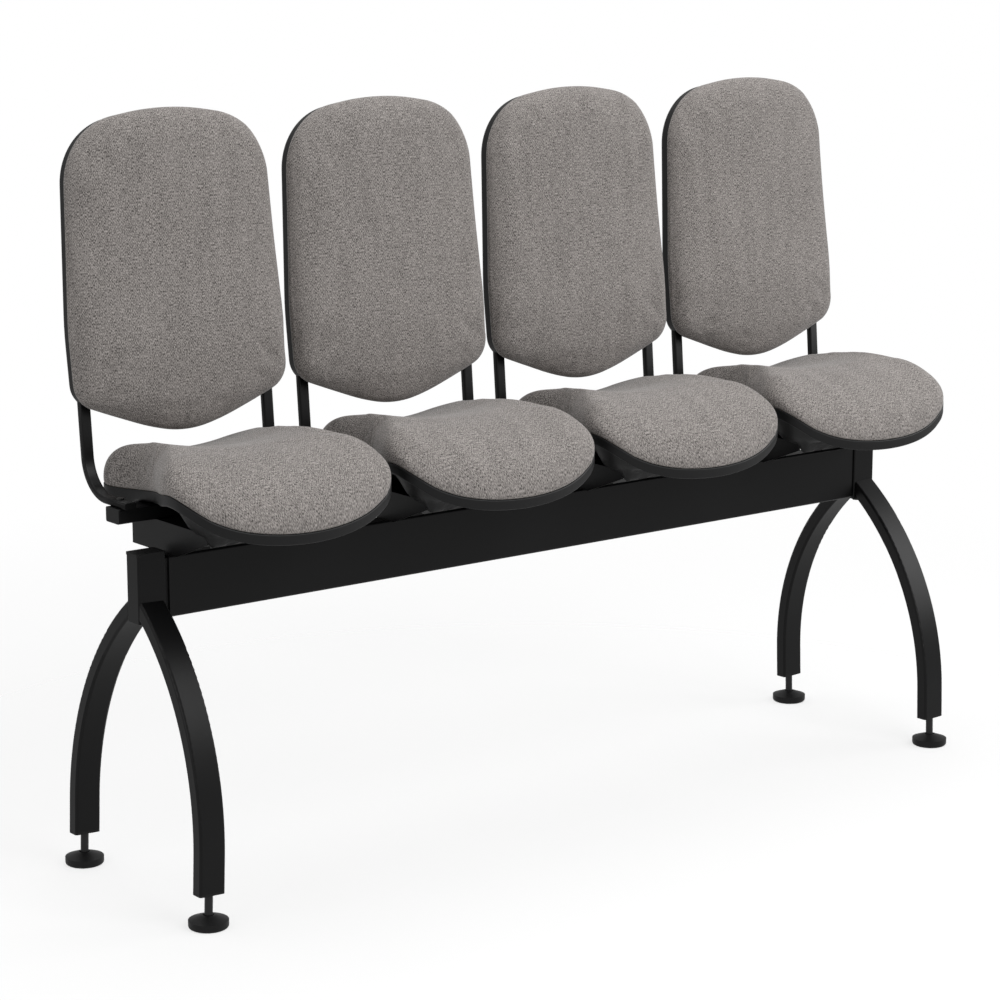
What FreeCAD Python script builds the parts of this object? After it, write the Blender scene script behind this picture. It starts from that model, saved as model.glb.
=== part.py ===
import FreeCAD, Part
import math
import os
import Sketcher
from FreeCAD import Placement, Rotation, Vector

# Four-place beam seating. Millimetres, +Z up, +X along the beam, -Y is the side that a sitter faces.
# The origin is on the floor, under the middle of the whole bench.

doc = FreeCAD.newDocument("beam_seating")

# Driving dimensions, one cell each
SIZES = {
    # places along the beam
    "seat_pitch": 380.0,
    "place_count": 4,
    "beam_line_back": 8.7,
    # beam, a closed rectangular tube
    "beam_half_span": 683.0,
    "beam_depth": 32.0,
    "beam_height": 91.0,
    "beam_underside": 412.0,
    "beam_wall": 3.0,
    "beam_corner": 4.0,
    # heads, the welded blocks at the beam's ends
    "head_width": 46.0,
    "head_gap": 5.5,
    "head_underside": 409.0,
    "head_top": 507.0,
    "head_edge": 2.5,
    "spigot_reach": 40.0,
    "spigot_clearance": 0.1,
    "spigot_wall": 4.0,
    "cap_thickness": 4.0,
    "cap_overhang": 0.8,
    # legs, bent rectangular tube, splayed outwards a little
    "leg_width": 42.0,
    "leg_thickness": 22.0,
    "leg_wall": 2.5,
    "leg_corner": 4.0,
    "leg_outer_radius": 422.0,
    "leg_straight_top": 102.0,
    "leg_underside": 52.5,
    "feet_spread": 348.0,
    "leg_splay": 2.1,
    "splay_height": 460.0,
    "plug_lip": 3.5,
    "plug_depth": 24.0,
    "plug_clearance": 0.1,
    # levelling feet
    "foot_radius": 29.0,
    "foot_rim": 12.0,
    "foot_round": 4.5,
    "foot_cone_top": 19.0,
    "foot_neck_radius": 9.5,
    "stem_radius": 6.0,
    "stem_length": 70.0,
    "stem_clearance": 0.05,
    "ball_radius": 7.5,
    "ball_height": 12.0,
    "ball_clearance": 0.2,
    # brackets that carry the seats on the beam
    "bracket_half_width": 108.0,
    "bracket_height": 46.0,
    "bracket_sheet": 4.0,
    "bracket_front": 112.0,
    "bracket_rear": 92.0,
    "tab_reach": 62.0,
    "tab_depth": 28.0,
    "tab_bolt_inset": 14.0,
    "gusset_start": 30.0,
    "gusset_rise": 32.0,
    "bar_height": 22.0,
    "bar_depth": 36.0,
    "bar_wall": 2.5,
    "bar_corner": 3.0,
    "rear_bar_length": 336.0,
    "rear_bar_back": 40.0,
    "front_bar_length": 180.0,
    "front_bar_forward": 90.0,
    "bar_plug_lip": 3.0,
    "bar_plug_depth": 6.0,
    # seat outline, half widths and places along Y from the beam's middle
    "seat_rear": 166.0,
    "seat_front": 248.0,
    "seat_rear_half": 138.0,
    "seat_waist_half": 111.0,
    "seat_waist_back": 26.0,
    "seat_lobe_half": 178.5,
    "seat_lobe_rear": 108.0,
    "seat_lobe_front": 177.0,
    "seat_corner_round": 42.0,
    "seat_waist_round": 190.0,
    "seat_lobe_round": 112.0,
    "seat_front_round": 55.0,
    "seat_nose_round": 360.0,
    # seat rim heights above the floor, and its slope at the rear
    "rim_rear_slope": -3.4,
    "rim_rear": 586.0,
    "rim_waist": 591.7,
    "rim_side": 614.0,
    "rim_shoulder": 583.2,
    "rim_front": 543.6,
    "rim_band": 14.0,
    "rim_round": 5.0,
    "shell_wall": 3.0,
    "belly_inset": 34.0,
    "boss_radius": 9.0,
    "board_thickness": 11.0,
    "board_clearance": 1.5,
    # seat cushion top above the floor, on the middle line
    "cushion_hump": 629.0,
    "cushion_dip": 635.0,
    "cushion_middle": 646.0,
    "cushion_thigh": 661.0,
    "cushion_nose": 609.0,
    "cushion_lip": 573.0,
    "cushion_dish": 31.0,
    "cushion_crown": 6.0,
    "seat_edge_round": 18.0,
    "soft_gap": 0.3,
    # back outline, measured up and down the leaning plane from its middle
    "back_lean": 4.8,
    "back_middle_height": 875.0,
    "back_middle_back": 133.0,
    "back_half_width": 182.0,
    "back_corner_half": 179.0,
    "back_shoulder_half": 168.0,
    "back_shoulder_up": 230.0,
    "back_top": 256.0,
    "back_waist_down": 60.0,
    "back_corner_down": 166.0,
    "back_knee_half": 63.0,
    "back_knee_down": 209.5,
    "back_bottom": 225.0,
    "back_pad_rear": 7.0,
    "back_pad_side": 13.0,
    "back_pad_middle": 26.0,
    "lumbar_depth": 12.0,
    "back_edge_round": 12.0,
    "back_rear_round": 4.0,
    "back_board_thickness": 6.0,
    "back_board_inset": 12.0,
    "back_shell_depth": 21.0,
    "back_shell_inset": 3.0,
    "back_shell_wall": 2.5,
    "back_shell_round": 10.0,
    # uprights, flat tube
    "upright_spacing": 314.0,
    "upright_width": 16.0,
    "upright_thickness": 10.0,
    "upright_wall": 1.5,
    "upright_corner": 2.0,
    "upright_bend": 80.0,
    "upright_top": 110.0,
    "arm_front": 12.0,
    "slot_clearance": 0.5,
    # screws
    "screw_radius": 3.0,
    "screw_hole_clearance": 0.2,
    "thread_clearance": 0.05,
    "screw_head_radius": 5.5,
    "screw_head_height": 3.0,
    "bolt_radius": 4.0,
    "bolt_head_radius": 7.5,
    "bolt_head_height": 6.0,
    "bolt_length": 14.0,
    "seat_screw_rear_half": 60.0,
    "seat_screw_front_half": 75.0,
    "back_screw_up": 85.0,
    "back_screw_down": 60.0,
}

sheet = doc.addObject("Spreadsheet::Sheet", "Sizes")
for row, (alias, number) in enumerate(SIZES.items(), start=1):
    sheet.set("A%d" % row, alias)
    sheet.set("B%d" % row, str(number))
    sheet.setAlias("B%d" % row, alias)
doc.recompute()


def size(alias):
    """Number that the sheet holds under an alias."""
    return float(sheet.get(alias))


finished = []


def new_body(label, own_file=True):
    """Empty body; where it has a file of its own, its label names the file."""
    body = doc.addObject("PartDesign::Body", label)
    body.Label = label
    if own_file:
        finished.append(body)
    return body


def new_sketch(body, name, plane, along="0", right="0", up="0"):
    """Sketch on one of the body's own origin planes, moved by expressions of the sheet's cells."""
    sketch = body.newObject("Sketcher::SketchObject", body.Label + "_" + name)
    support = [item for item in body.Origin.OriginFeatures if item.Role == plane][0]
    sketch.AttachmentSupport = [(support, "")]
    sketch.MapMode = "FlatFace"
    sketch.setExpression("AttachmentOffset.Base.x", right)
    sketch.setExpression("AttachmentOffset.Base.y", up)
    sketch.setExpression("AttachmentOffset.Base.z", along)
    return sketch


def add_rounded_rectangle(sketch, wide, tall, corner, start_wide, start_tall, start_corner):
    """Rectangle round the sketch's origin, with equal round corners held by three expressions."""
    near_x = start_wide / 2.0 - start_corner
    near_y = start_tall / 2.0 - start_corner
    far_x = start_wide / 2.0
    far_y = start_tall / 2.0
    sides = [
        Part.LineSegment(Vector(-near_x, -far_y, 0), Vector(near_x, -far_y, 0)),
        Part.LineSegment(Vector(far_x, -near_y, 0), Vector(far_x, near_y, 0)),
        Part.LineSegment(Vector(near_x, far_y, 0), Vector(-near_x, far_y, 0)),
        Part.LineSegment(Vector(-far_x, near_y, 0), Vector(-far_x, -near_y, 0)),
    ]
    arcs = []
    for turn, (x, y) in enumerate([(near_x, -near_y), (near_x, near_y), (-near_x, near_y), (-near_x, -near_y)]):
        circle = Part.Circle(Vector(x, y, 0), Vector(0, 0, 1), start_corner)
        start_angle = math.radians(turn * 90.0 - 90.0)
        arcs.append(Part.ArcOfCircle(circle, start_angle, start_angle + math.pi / 2.0))
    sketch.addGeometry(sides + arcs, False)
    for turn in range(4):
        sketch.addConstraint(Sketcher.Constraint("Tangent", turn, 2, 4 + turn, 1))
        sketch.addConstraint(Sketcher.Constraint("Tangent", 4 + turn, 2, (turn + 1) % 4, 1))
    for side in (0, 2):
        sketch.addConstraint(Sketcher.Constraint("Horizontal", side))
    for side in (1, 3):
        sketch.addConstraint(Sketcher.Constraint("Vertical", side))
    for arc in (4, 5):
        sketch.addConstraint(Sketcher.Constraint("Equal", arc, arc + 1))
    sketch.addConstraint(Sketcher.Constraint("Symmetric", 5, 3, 7, 3, -1, 1))
    for expression, constraint in (
        (corner, Sketcher.Constraint("Radius", 4, start_corner)),
        (wide, Sketcher.Constraint("DistanceX", 3, 1, 1, 1, start_wide)),
        (tall, Sketcher.Constraint("DistanceY", 0, 1, 2, 1, start_tall)),
    ):
        index = sketch.addConstraint(constraint)
        sketch.setExpression("Constraints[%d]" % index, expression)


def add_circle(sketch, radius, start_radius, x=0.0, y=0.0):
    """Circle at a point of the sketch, its radius held by an expression."""
    index = sketch.addGeometry(Part.Circle(Vector(x, y, 0), Vector(0, 0, 1), start_radius), False)
    constraint = sketch.addConstraint(Sketcher.Constraint("Radius", index, start_radius))
    sketch.setExpression("Constraints[%d]" % constraint, radius)


def polygon(points):
    """Closed run of straight lines through points."""
    corners = [Vector(x, y, 0) for x, y in points]
    return [Part.LineSegment(a, b) for a, b in zip(corners, corners[1:] + corners[:1])]


def rounded_polygon(corners):
    """Closed outline of lines and tangent arcs; each corner is x, y and the radius that rounds it."""
    points = [Vector(x, y, 0) for x, y, radius in corners]
    starts = []
    ends = []
    arcs = []
    for index, (x, y, radius) in enumerate(corners):
        here = points[index]
        back = (points[index - 1] - here).normalize()
        ahead = (points[(index + 1) % len(points)] - here).normalize()
        half_turn = (math.pi - back.getAngle(ahead)) / 2.0
        reach = radius * math.tan(half_turn)
        middle = here + (back + ahead).normalize() * (radius / math.cos(half_turn) - radius)
        starts.append(here + back * reach)
        ends.append(here + ahead * reach)
        arcs.append(Part.Arc(starts[-1], middle, ends[-1]))
    edges = []
    for index, arc in enumerate(arcs):
        edges.append(arc)
        edges.append(Part.LineSegment(ends[index], starts[(index + 1) % len(starts)]))
    return edges


def mirrored(half):
    """Whole outline from its right half, listed from one end of the middle line to the other."""
    left = [(-x, y, radius) for x, y, radius in reversed(half) if x > 0.0]
    return half + left


def drawn_in(edges, distance):
    """The same closed outline, moved inwards by a distance."""
    wire = Part.Wire([edge.toShape() for edge in edges])
    moved = wire.makeOffset2D(-distance)
    result = []
    for edge in moved.OrderedEdges:
        first = edge.valueAt(edge.FirstParameter)
        middle = edge.valueAt((edge.FirstParameter + edge.LastParameter) / 2.0)
        last = edge.valueAt(edge.LastParameter)
        if isinstance(edge.Curve, Part.Line):
            result.append(Part.LineSegment(first, last))
        else:
            result.append(Part.Arc(first, middle, last))
    return result


def pad(body, sketch, length, symmetric=False, reverse=False):
    """Solid along the sketch's normal, or against it where it is reversed; length is an expression."""
    feature = body.newObject("PartDesign::Pad", sketch.Label + "_pad")
    feature.Profile = sketch
    if symmetric:
        feature.SideType = "Symmetric"
    feature.Reversed = reverse
    feature.setExpression("Length", length)
    return feature


def pocket(body, sketch, length, symmetric=False, reverse=False):
    """Cut against the sketch's normal, or along it where it is reversed; length is an expression."""
    feature = body.newObject("PartDesign::Pocket", sketch.Label + "_pocket")
    feature.Profile = sketch
    if symmetric:
        feature.SideType = "Symmetric"
    feature.Reversed = reverse
    feature.setExpression("Length", length)
    return feature


def round_edges(body, base, radius, wanted):
    """Fillet on the edges of a feature that a test picks."""
    doc.recompute()
    names = ["Edge%d" % (i + 1) for i, edge in enumerate(base.Shape.Edges) if wanted(edge)]
    feature = body.newObject("PartDesign::Fillet", base.Label + "_round")
    feature.Base = (base, names)
    feature.setExpression("Radius", radius)
    return feature


def revolve(body, sketch):
    """Turned solid round the sketch's upright axis."""
    feature = body.newObject("PartDesign::Revolution", sketch.Label + "_turned")
    feature.Profile = sketch
    feature.ReferenceAxis = (sketch, ["V_Axis"])
    feature.Angle = 360.0
    return feature


def place(item, x="0", y="Sizes.beam_line_back", z="0"):
    """Bind an object's position to the sheet; every piece is drawn from the beam's middle line."""
    item.setExpression("Placement.Base.x", x)
    item.setExpression("Placement.Base.y", y)
    item.setExpression("Placement.Base.z", z)


def group(label, pieces, own_file=True):
    """Several equal solids kept as one piece."""
    bundle = doc.addObject("Part::Compound", label)
    bundle.Label = label
    bundle.Links = pieces
    if own_file:
        finished.append(bundle)
    return bundle


def screw(label, x, y, z, length, bolt=False, down=True):
    """Screw whose head rests at a point, with its shank going down, or up where down is false."""
    kind = "bolt" if bolt else "screw"
    shank = doc.addObject("Part::Cylinder", label + "_shank")
    shank.setExpression("Radius", "Sizes.%s_radius" % kind)
    shank.setExpression("Height", length)
    if bolt:
        head = doc.addObject("Part::Prism", label + "_head")
        head.Polygon = 6
        head.setExpression("Circumradius", "Sizes.bolt_head_radius")
    else:
        head = doc.addObject("Part::Cylinder", label + "_head")
        head.setExpression("Radius", "Sizes.screw_head_radius")
    head.setExpression("Height", "Sizes.%s_head_height" % kind)
    if down:
        shank.setExpression("Placement.Base.z", "-(%s)" % length)
    else:
        head.setExpression("Placement.Base.z", "-Sizes.%s_head_height" % kind)
    whole = doc.addObject("Part::Fuse", label)
    whole.Base = shank
    whole.Tool = head
    place(whole, x, y, z)
    return whole


places = range(int(size("place_count")))
PLACE_X = "Sizes.seat_pitch * (%d - (Sizes.place_count - 1) / 2)"
BEAM_TOP = "(Sizes.beam_underside + Sizes.beam_height)"
beam_top = size("beam_underside") + size("beam_height")
bar_middle = beam_top + size("bracket_height") + size("bar_height") / 2.0
bar_top = beam_top + size("bracket_height") + size("bar_height")
BAR_TOP = "(Sizes.beam_underside + Sizes.beam_height + Sizes.bracket_height + Sizes.bar_height)"
tab_bolt_x = size("bracket_half_width") - size("bracket_sheet") - size("tab_reach") + size("tab_bolt_inset")
TAB_BOLT_X = "(Sizes.bracket_half_width - Sizes.bracket_sheet - Sizes.tab_reach + Sizes.tab_bolt_inset)"
head_x = size("beam_half_span") + size("head_gap") + size("head_width") / 2.0
HEAD_X = "(Sizes.beam_half_span + Sizes.head_gap + Sizes.head_width / 2)"

# Beam, a closed tube with a hole in its top wall under each bracket bolt
beam = new_body("beam")
outer = new_sketch(beam, "outer", "YZ_Plane", up="Sizes.beam_underside + Sizes.beam_height / 2")
add_rounded_rectangle(outer, "Sizes.beam_depth", "Sizes.beam_height", "Sizes.beam_corner",
                      size("beam_depth"), size("beam_height"), size("beam_corner"))
pad(beam, outer, "2 * Sizes.beam_half_span", symmetric=True)
inner = new_sketch(beam, "inner", "YZ_Plane", up="Sizes.beam_underside + Sizes.beam_height / 2")
add_rounded_rectangle(inner, "Sizes.beam_depth - 2 * Sizes.beam_wall", "Sizes.beam_height - 2 * Sizes.beam_wall",
                      "Sizes.beam_corner - Sizes.beam_wall", size("beam_depth") - 2.0 * size("beam_wall"),
                      size("beam_height") - 2.0 * size("beam_wall"), size("beam_corner") - size("beam_wall"))
pocket(beam, inner, "2 * Sizes.beam_half_span", symmetric=True)
holes = new_sketch(beam, "holes", "XY_Plane", along=BEAM_TOP)
for index in places:
    middle = size("seat_pitch") * (index - (size("place_count") - 1.0) / 2.0)
    for side in (-1.0, 1.0):
        add_circle(holes, "Sizes.bolt_radius + Sizes.screw_hole_clearance",
                   size("bolt_radius") + size("screw_hole_clearance"), x=middle + side * tab_bolt_x)
pocket(beam, holes, "2 * Sizes.beam_wall")
place(beam)

# Heads, each a block with a hollow spigot that slides into the beam
for label, turn in (("left_head", 180.0), ("right_head", 0.0)):
    head = new_body(label)
    head.Placement = Placement(Vector(), Rotation(Vector(0, 0, 1), turn))
    block = new_sketch(head, "block", "XY_Plane", along="Sizes.head_underside")
    add_rounded_rectangle(block, "Sizes.head_width", "Sizes.beam_depth", "Sizes.head_edge",
                          size("head_width"), size("beam_depth"), size("head_edge"))
    pad(head, block, "Sizes.head_top - Sizes.head_underside")
    spigot = new_sketch(head, "spigot", "YZ_Plane", along="-Sizes.head_width / 2",
                        up="Sizes.beam_underside + Sizes.beam_height / 2")
    add_rounded_rectangle(spigot, "Sizes.beam_depth - 2 * (Sizes.beam_wall + Sizes.spigot_clearance)",
                          "Sizes.beam_height - 2 * (Sizes.beam_wall + Sizes.spigot_clearance)",
                          "Sizes.beam_corner - Sizes.beam_wall + Sizes.spigot_clearance",
                          size("beam_depth") - 2.0 * (size("beam_wall") + size("spigot_clearance")),
                          size("beam_height") - 2.0 * (size("beam_wall") + size("spigot_clearance")),
                          size("beam_corner") - size("beam_wall") + size("spigot_clearance"))
    pad(head, spigot, "Sizes.head_gap + Sizes.spigot_reach", reverse=True)
    room = new_sketch(head, "room", "YZ_Plane", along="-Sizes.head_width / 2",
                      up="Sizes.beam_underside + Sizes.beam_height / 2")
    add_rounded_rectangle(room, "Sizes.beam_depth - 2 * (Sizes.beam_wall + Sizes.spigot_wall)",
                          "Sizes.beam_height - 2 * (Sizes.beam_wall + Sizes.spigot_wall)",
                          "Sizes.head_edge", size("beam_depth") - 2.0 * (size("beam_wall") + size("spigot_wall")),
                          size("beam_height") - 2.0 * (size("beam_wall") + size("spigot_wall")), size("head_edge"))
    pocket(head, room, "Sizes.head_gap + Sizes.spigot_reach")
    bolt_hole = new_sketch(head, "bolt_hole", "XY_Plane", along="Sizes.head_underside")
    add_circle(bolt_hole, "Sizes.bolt_radius + Sizes.thread_clearance",
               size("bolt_radius") + size("thread_clearance"))
    pocket(head, bolt_hole, "Sizes.bolt_length + 2", reverse=True)
    place(head, x=HEAD_X if turn == 0.0 else "-" + HEAD_X)

caps = []
head_bolts = []
for label, sign in (("left", "-"), ("right", "")):
    cap = new_body(label + "_cap", own_file=False)
    plate = new_sketch(cap, "plate", "XY_Plane", along="Sizes.head_top")
    add_rounded_rectangle(plate, "Sizes.head_width + 2 * Sizes.cap_overhang",
                          "Sizes.beam_depth + 2 * Sizes.cap_overhang", "Sizes.head_edge + Sizes.cap_overhang",
                          size("head_width") + 2.0 * size("cap_overhang"),
                          size("beam_depth") + 2.0 * size("cap_overhang"), size("head_edge") + size("cap_overhang"))
    pad(cap, plate, "Sizes.cap_thickness")
    place(cap, x=sign + HEAD_X)
    caps.append(cap)
    head_bolts.append(screw(label + "_head_bolt", sign + HEAD_X, "Sizes.beam_line_back", "Sizes.head_underside",
                            "Sizes.bolt_length", bolt=True, down=False))
group("head_caps", caps)
group("head_bolts", head_bolts)

# Legs, plugs, stems and discs. Each leg is drawn upright at the rear, with the splay's pivot as its origin,
# then turned to its corner and leaned outwards.
pivot = size("splay_height")
outer_face = size("feet_spread") / 2.0 + size("leg_thickness") / 2.0
bend_y = outer_face - size("leg_outer_radius")
bend_z = size("leg_straight_top") - pivot
joint_y = size("beam_depth") / 2.0


def leg_side(thin):
    """Side view of a leg, drawn in by a wall's thickness where thin is more than 0."""
    outside = size("leg_outer_radius") - thin
    inside = size("leg_outer_radius") - size("leg_thickness") + thin
    bottom = size("leg_underside") - pivot
    ends = []
    for radius in (outside, inside):
        rise = math.acos((joint_y - bend_y) / radius)
        half = Vector(bend_y + radius * math.cos(rise / 2.0), bend_z + radius * math.sin(rise / 2.0), 0)
        top = Vector(joint_y, bend_z + radius * math.sin(rise), 0)
        ends.append((Vector(bend_y + radius, bottom, 0), Vector(bend_y + radius, bend_z, 0), half, top))
    low_out, start_out, half_out, top_out = ends[0]
    low_in, start_in, half_in, top_in = ends[1]
    return [
        Part.LineSegment(low_in, low_out),
        Part.LineSegment(low_out, start_out),
        Part.Arc(start_out, half_out, top_out),
        Part.LineSegment(top_out, top_in),
        Part.Arc(top_in, half_in, start_in),
        Part.LineSegment(start_in, low_in),
    ]


def place_at_corner(item, side, rear):
    """Turn a piece of the rear leg to its corner and lean it outwards."""
    lean = Rotation(Vector(0, 1, 0), -side * size("leg_splay"))
    turn = Rotation(Vector(0, 0, 1), 0.0 if rear else 180.0)
    item.Placement = Placement(Vector(), lean.multiply(turn))
    place(item, x=HEAD_X if side > 0 else "-" + HEAD_X, z="Sizes.splay_height")


CORNERS = (("left_front", -1, False), ("left_rear", -1, True), ("right_front", 1, False), ("right_rear", 1, True))
plugs = []
for corner, side, rear in CORNERS:
    leg = new_body("leg_" + corner)
    profile = new_sketch(leg, "side", "YZ_Plane")
    profile.addGeometry(leg_side(0.0), False)
    tube = pad(leg, profile, "Sizes.leg_width", symmetric=True)
    cross_length = max(size("leg_width"), size("leg_thickness")) + 1.0
    tube = round_edges(leg, tube, "Sizes.leg_corner", lambda edge: edge.Length > cross_length)
    hollow = new_sketch(leg, "hollow", "YZ_Plane")
    hollow.addGeometry(leg_side(size("leg_wall")), False)
    pocket(leg, hollow, "Sizes.leg_width - 2 * Sizes.leg_wall", symmetric=True)
    place_at_corner(leg, side, rear)

    plug = new_body("plug_" + corner, own_file=False)
    lip = new_sketch(plug, "lip", "XY_Plane", up="Sizes.feet_spread / 2",
                     along="Sizes.leg_underside - Sizes.plug_lip - Sizes.splay_height")
    add_rounded_rectangle(lip, "Sizes.leg_width", "Sizes.leg_thickness", "Sizes.leg_corner",
                          size("leg_width"), size("leg_thickness"), size("leg_corner"))
    pad(plug, lip, "Sizes.plug_lip")
    insert = new_sketch(plug, "insert", "XY_Plane", up="Sizes.feet_spread / 2",
                        along="Sizes.leg_underside - Sizes.splay_height")
    add_rounded_rectangle(insert, "Sizes.leg_width - 2 * (Sizes.leg_wall + Sizes.plug_clearance)",
                          "Sizes.leg_thickness - 2 * (Sizes.leg_wall + Sizes.plug_clearance)", "1",
                          size("leg_width") - 2.0 * (size("leg_wall") + size("plug_clearance")),
                          size("leg_thickness") - 2.0 * (size("leg_wall") + size("plug_clearance")), 1.0)
    pad(plug, insert, "Sizes.plug_depth")
    bore = new_sketch(plug, "bore", "XY_Plane", up="Sizes.feet_spread / 2",
                      along="Sizes.leg_underside + Sizes.plug_depth - Sizes.splay_height")
    add_circle(bore, "Sizes.stem_radius + Sizes.stem_clearance", size("stem_radius") + size("stem_clearance"))
    pocket(plug, bore, "Sizes.plug_depth + Sizes.plug_lip + 1")
    place_at_corner(plug, side, rear)
    plugs.append(plug)

    stem = new_body("foot_stem_" + corner)
    turned = new_sketch(stem, "half", "XZ_Plane", along="-Sizes.feet_spread / 2",
                        up="Sizes.ball_height - Sizes.splay_height")
    ball = size("ball_radius")
    neck = size("stem_radius")
    neck_z = math.sqrt(ball ** 2 - neck ** 2)
    turned.addGeometry([
        Part.Arc(Vector(0, -ball, 0), Vector(ball, 0, 0), Vector(neck, neck_z, 0)),
        Part.LineSegment(Vector(neck, neck_z, 0), Vector(neck, size("stem_length"), 0)),
        Part.LineSegment(Vector(neck, size("stem_length"), 0), Vector(0, size("stem_length"), 0)),
        Part.LineSegment(Vector(0, size("stem_length"), 0), Vector(0, -ball, 0)),
    ], False)
    revolve(stem, turned)
    place_at_corner(stem, side, rear)

    disc = new_body("foot_disc_" + corner)
    half = new_sketch(disc, "half", "XZ_Plane")
    splay = math.radians(size("leg_splay"))
    ball_z = pivot - (pivot - size("ball_height")) * math.cos(splay)
    socket = ball + size("ball_clearance")
    rim = size("foot_radius")
    curl = size("foot_round")
    swing = curl * math.sqrt(0.5)
    half.addGeometry([
        Part.LineSegment(Vector(0, 0, 0), Vector(rim - curl, 0, 0)),
        Part.Arc(Vector(rim - curl, 0, 0), Vector(rim - curl + swing, curl - swing, 0), Vector(rim, curl, 0)),
        Part.LineSegment(Vector(rim, curl, 0), Vector(rim, size("foot_rim"), 0)),
        Part.LineSegment(Vector(rim, size("foot_rim"), 0),
                         Vector(size("foot_neck_radius"), size("foot_cone_top"), 0)),
        Part.LineSegment(Vector(size("foot_neck_radius"), size("foot_cone_top"), 0),
                         Vector(socket, size("foot_cone_top"), 0)),
        Part.LineSegment(Vector(socket, size("foot_cone_top"), 0), Vector(socket, ball_z - ball, 0)),
        Part.LineSegment(Vector(socket, ball_z - ball, 0), Vector(0, ball_z - ball, 0)),
        Part.LineSegment(Vector(0, ball_z - ball, 0), Vector(0, 0, 0)),
    ], False)
    revolve(disc, half)
    place(disc, x="%d * (%s + (Sizes.splay_height - Sizes.ball_height) * sin(Sizes.leg_splay * 1 deg))"
          % (side, HEAD_X), y="Sizes.beam_line_back %s Sizes.feet_spread / 2" % ("+" if rear else "-"))
group("leg_plugs", plugs)


# Seat outlines in plan and the curve of the rim seen from the side
def seat_outline(inset=0.0):
    """Plan outline of a seat, moved inwards by a distance."""
    half = [
        (size("seat_rear_half"), size("seat_rear"), size("seat_corner_round")),
        (size("seat_waist_half"), size("seat_waist_back"), size("seat_waist_round")),
        (size("seat_lobe_half"), -size("seat_lobe_rear"), size("seat_lobe_round")),
        (size("seat_lobe_half"), -size("seat_lobe_front"), size("seat_front_round")),
        (0.0, -size("seat_front"), size("seat_nose_round")),
    ]
    edges = rounded_polygon(mirrored(half))
    return drawn_in(edges, inset) if inset else edges


RIM_OVERRUN = 16.0


def rim_arcs(drop=0.0):
    """Rim seen from the side, from the rear to the front: arcs that continue each other's direction."""
    stations = [
        Vector(size("seat_rear") + RIM_OVERRUN, size("rim_rear") - drop, 0),
        Vector(size("seat_waist_back"), size("rim_waist") - drop, 0),
        Vector(-size("seat_lobe_rear"), size("rim_side") - drop, 0),
        Vector(-size("seat_lobe_front") - 13.0, size("rim_shoulder") - drop, 0),
        Vector(-size("seat_front") - RIM_OVERRUN, size("rim_front") - drop, 0),
    ]
    heading = math.radians(180.0 - size("rim_rear_slope"))
    arcs = []
    for start, end in zip(stations, stations[1:]):
        chord = end - start
        chord_heading = math.atan2(chord.y, chord.x) % (2.0 * math.pi)
        swing = chord_heading - heading
        bulge = chord.Length / 2.0 * math.tan(swing / 2.0)
        side = Vector(chord.y, -chord.x, 0).normalize()
        arcs.append(Part.Arc(start, (start + end) / 2.0 + side * bulge, end))
        heading = 2.0 * chord_heading - heading
    return arcs


def rim_height(y):
    """Height of the rim above the floor at one place along the seat."""
    probe = Part.makeLine(Vector(y, 0, 0), Vector(y, 1000.0, 0))
    curve = Part.Wire([arc.toShape() for arc in rim_arcs()])
    return curve.distToShape(probe)[1][0][0].y


def side_region(drop, level):
    """Region between the rim's curve and a flat level, seen from the side."""
    arcs = rim_arcs(drop)
    rear = arcs[0].StartPoint
    front = arcs[-1].EndPoint
    return arcs + [
        Part.LineSegment(front, Vector(front.x, level, 0)),
        Part.LineSegment(Vector(front.x, level, 0), Vector(rear.x, level, 0)),
        Part.LineSegment(Vector(rear.x, level, 0), rear),
    ]


SEAT_SPAN = "2 * Sizes.seat_lobe_half + 20"
ROOM_HEIGHT = 60.0


def seat_slab(body, inset, top_drop, bottom_drop=None, bottom=None):
    """Plan outline stood up between a top and a bottom that follow the rim, or on a flat bottom."""
    low = bottom if bottom is not None else size("rim_front") - 2.0 * size("rim_band")
    high = size("rim_side") + ROOM_HEIGHT
    plan = new_sketch(body, "plan", "XY_Plane", along="%f" % low)
    plan.addGeometry(seat_outline(inset), False)
    feature = pad(body, plan, "%f" % (high - low))
    if top_drop is not None:
        above = new_sketch(body, "above", "YZ_Plane")
        above.addGeometry(side_region(top_drop, high + 20.0), False)
        feature = pocket(body, above, SEAT_SPAN, symmetric=True)
    if bottom_drop is not None:
        below = new_sketch(body, "below", "YZ_Plane")
        below.addGeometry(side_region(bottom_drop, low - 20.0), False)
        feature = pocket(body, below, SEAT_SPAN, symmetric=True)
    return feature


def pitch_holes(body, name, along, radius, start_radius, points, length):
    """Round holes at points in plan, cut down from a height."""
    sketch = new_sketch(body, name, "XY_Plane", along=along)
    for x, y in points:
        add_circle(sketch, radius, start_radius, x=x, y=y)
    return pocket(body, sketch, length)


seat_points = [(side * size("seat_screw_rear_half"), size("rear_bar_back")) for side in (-1.0, 1.0)]
seat_points += [(side * size("seat_screw_front_half"), -size("front_bar_forward")) for side in (-1.0, 1.0)]
upright_points = [(side * size("upright_spacing") / 2.0, size("rear_bar_back")) for side in (-1.0, 1.0)]
SCREW_HOLE = "Sizes.screw_radius + Sizes.screw_hole_clearance"
screw_hole = size("screw_radius") + size("screw_hole_clearance")
THREAD_HOLE = "Sizes.screw_radius + Sizes.thread_clearance"
thread_hole = size("screw_radius") + size("thread_clearance")

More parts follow.
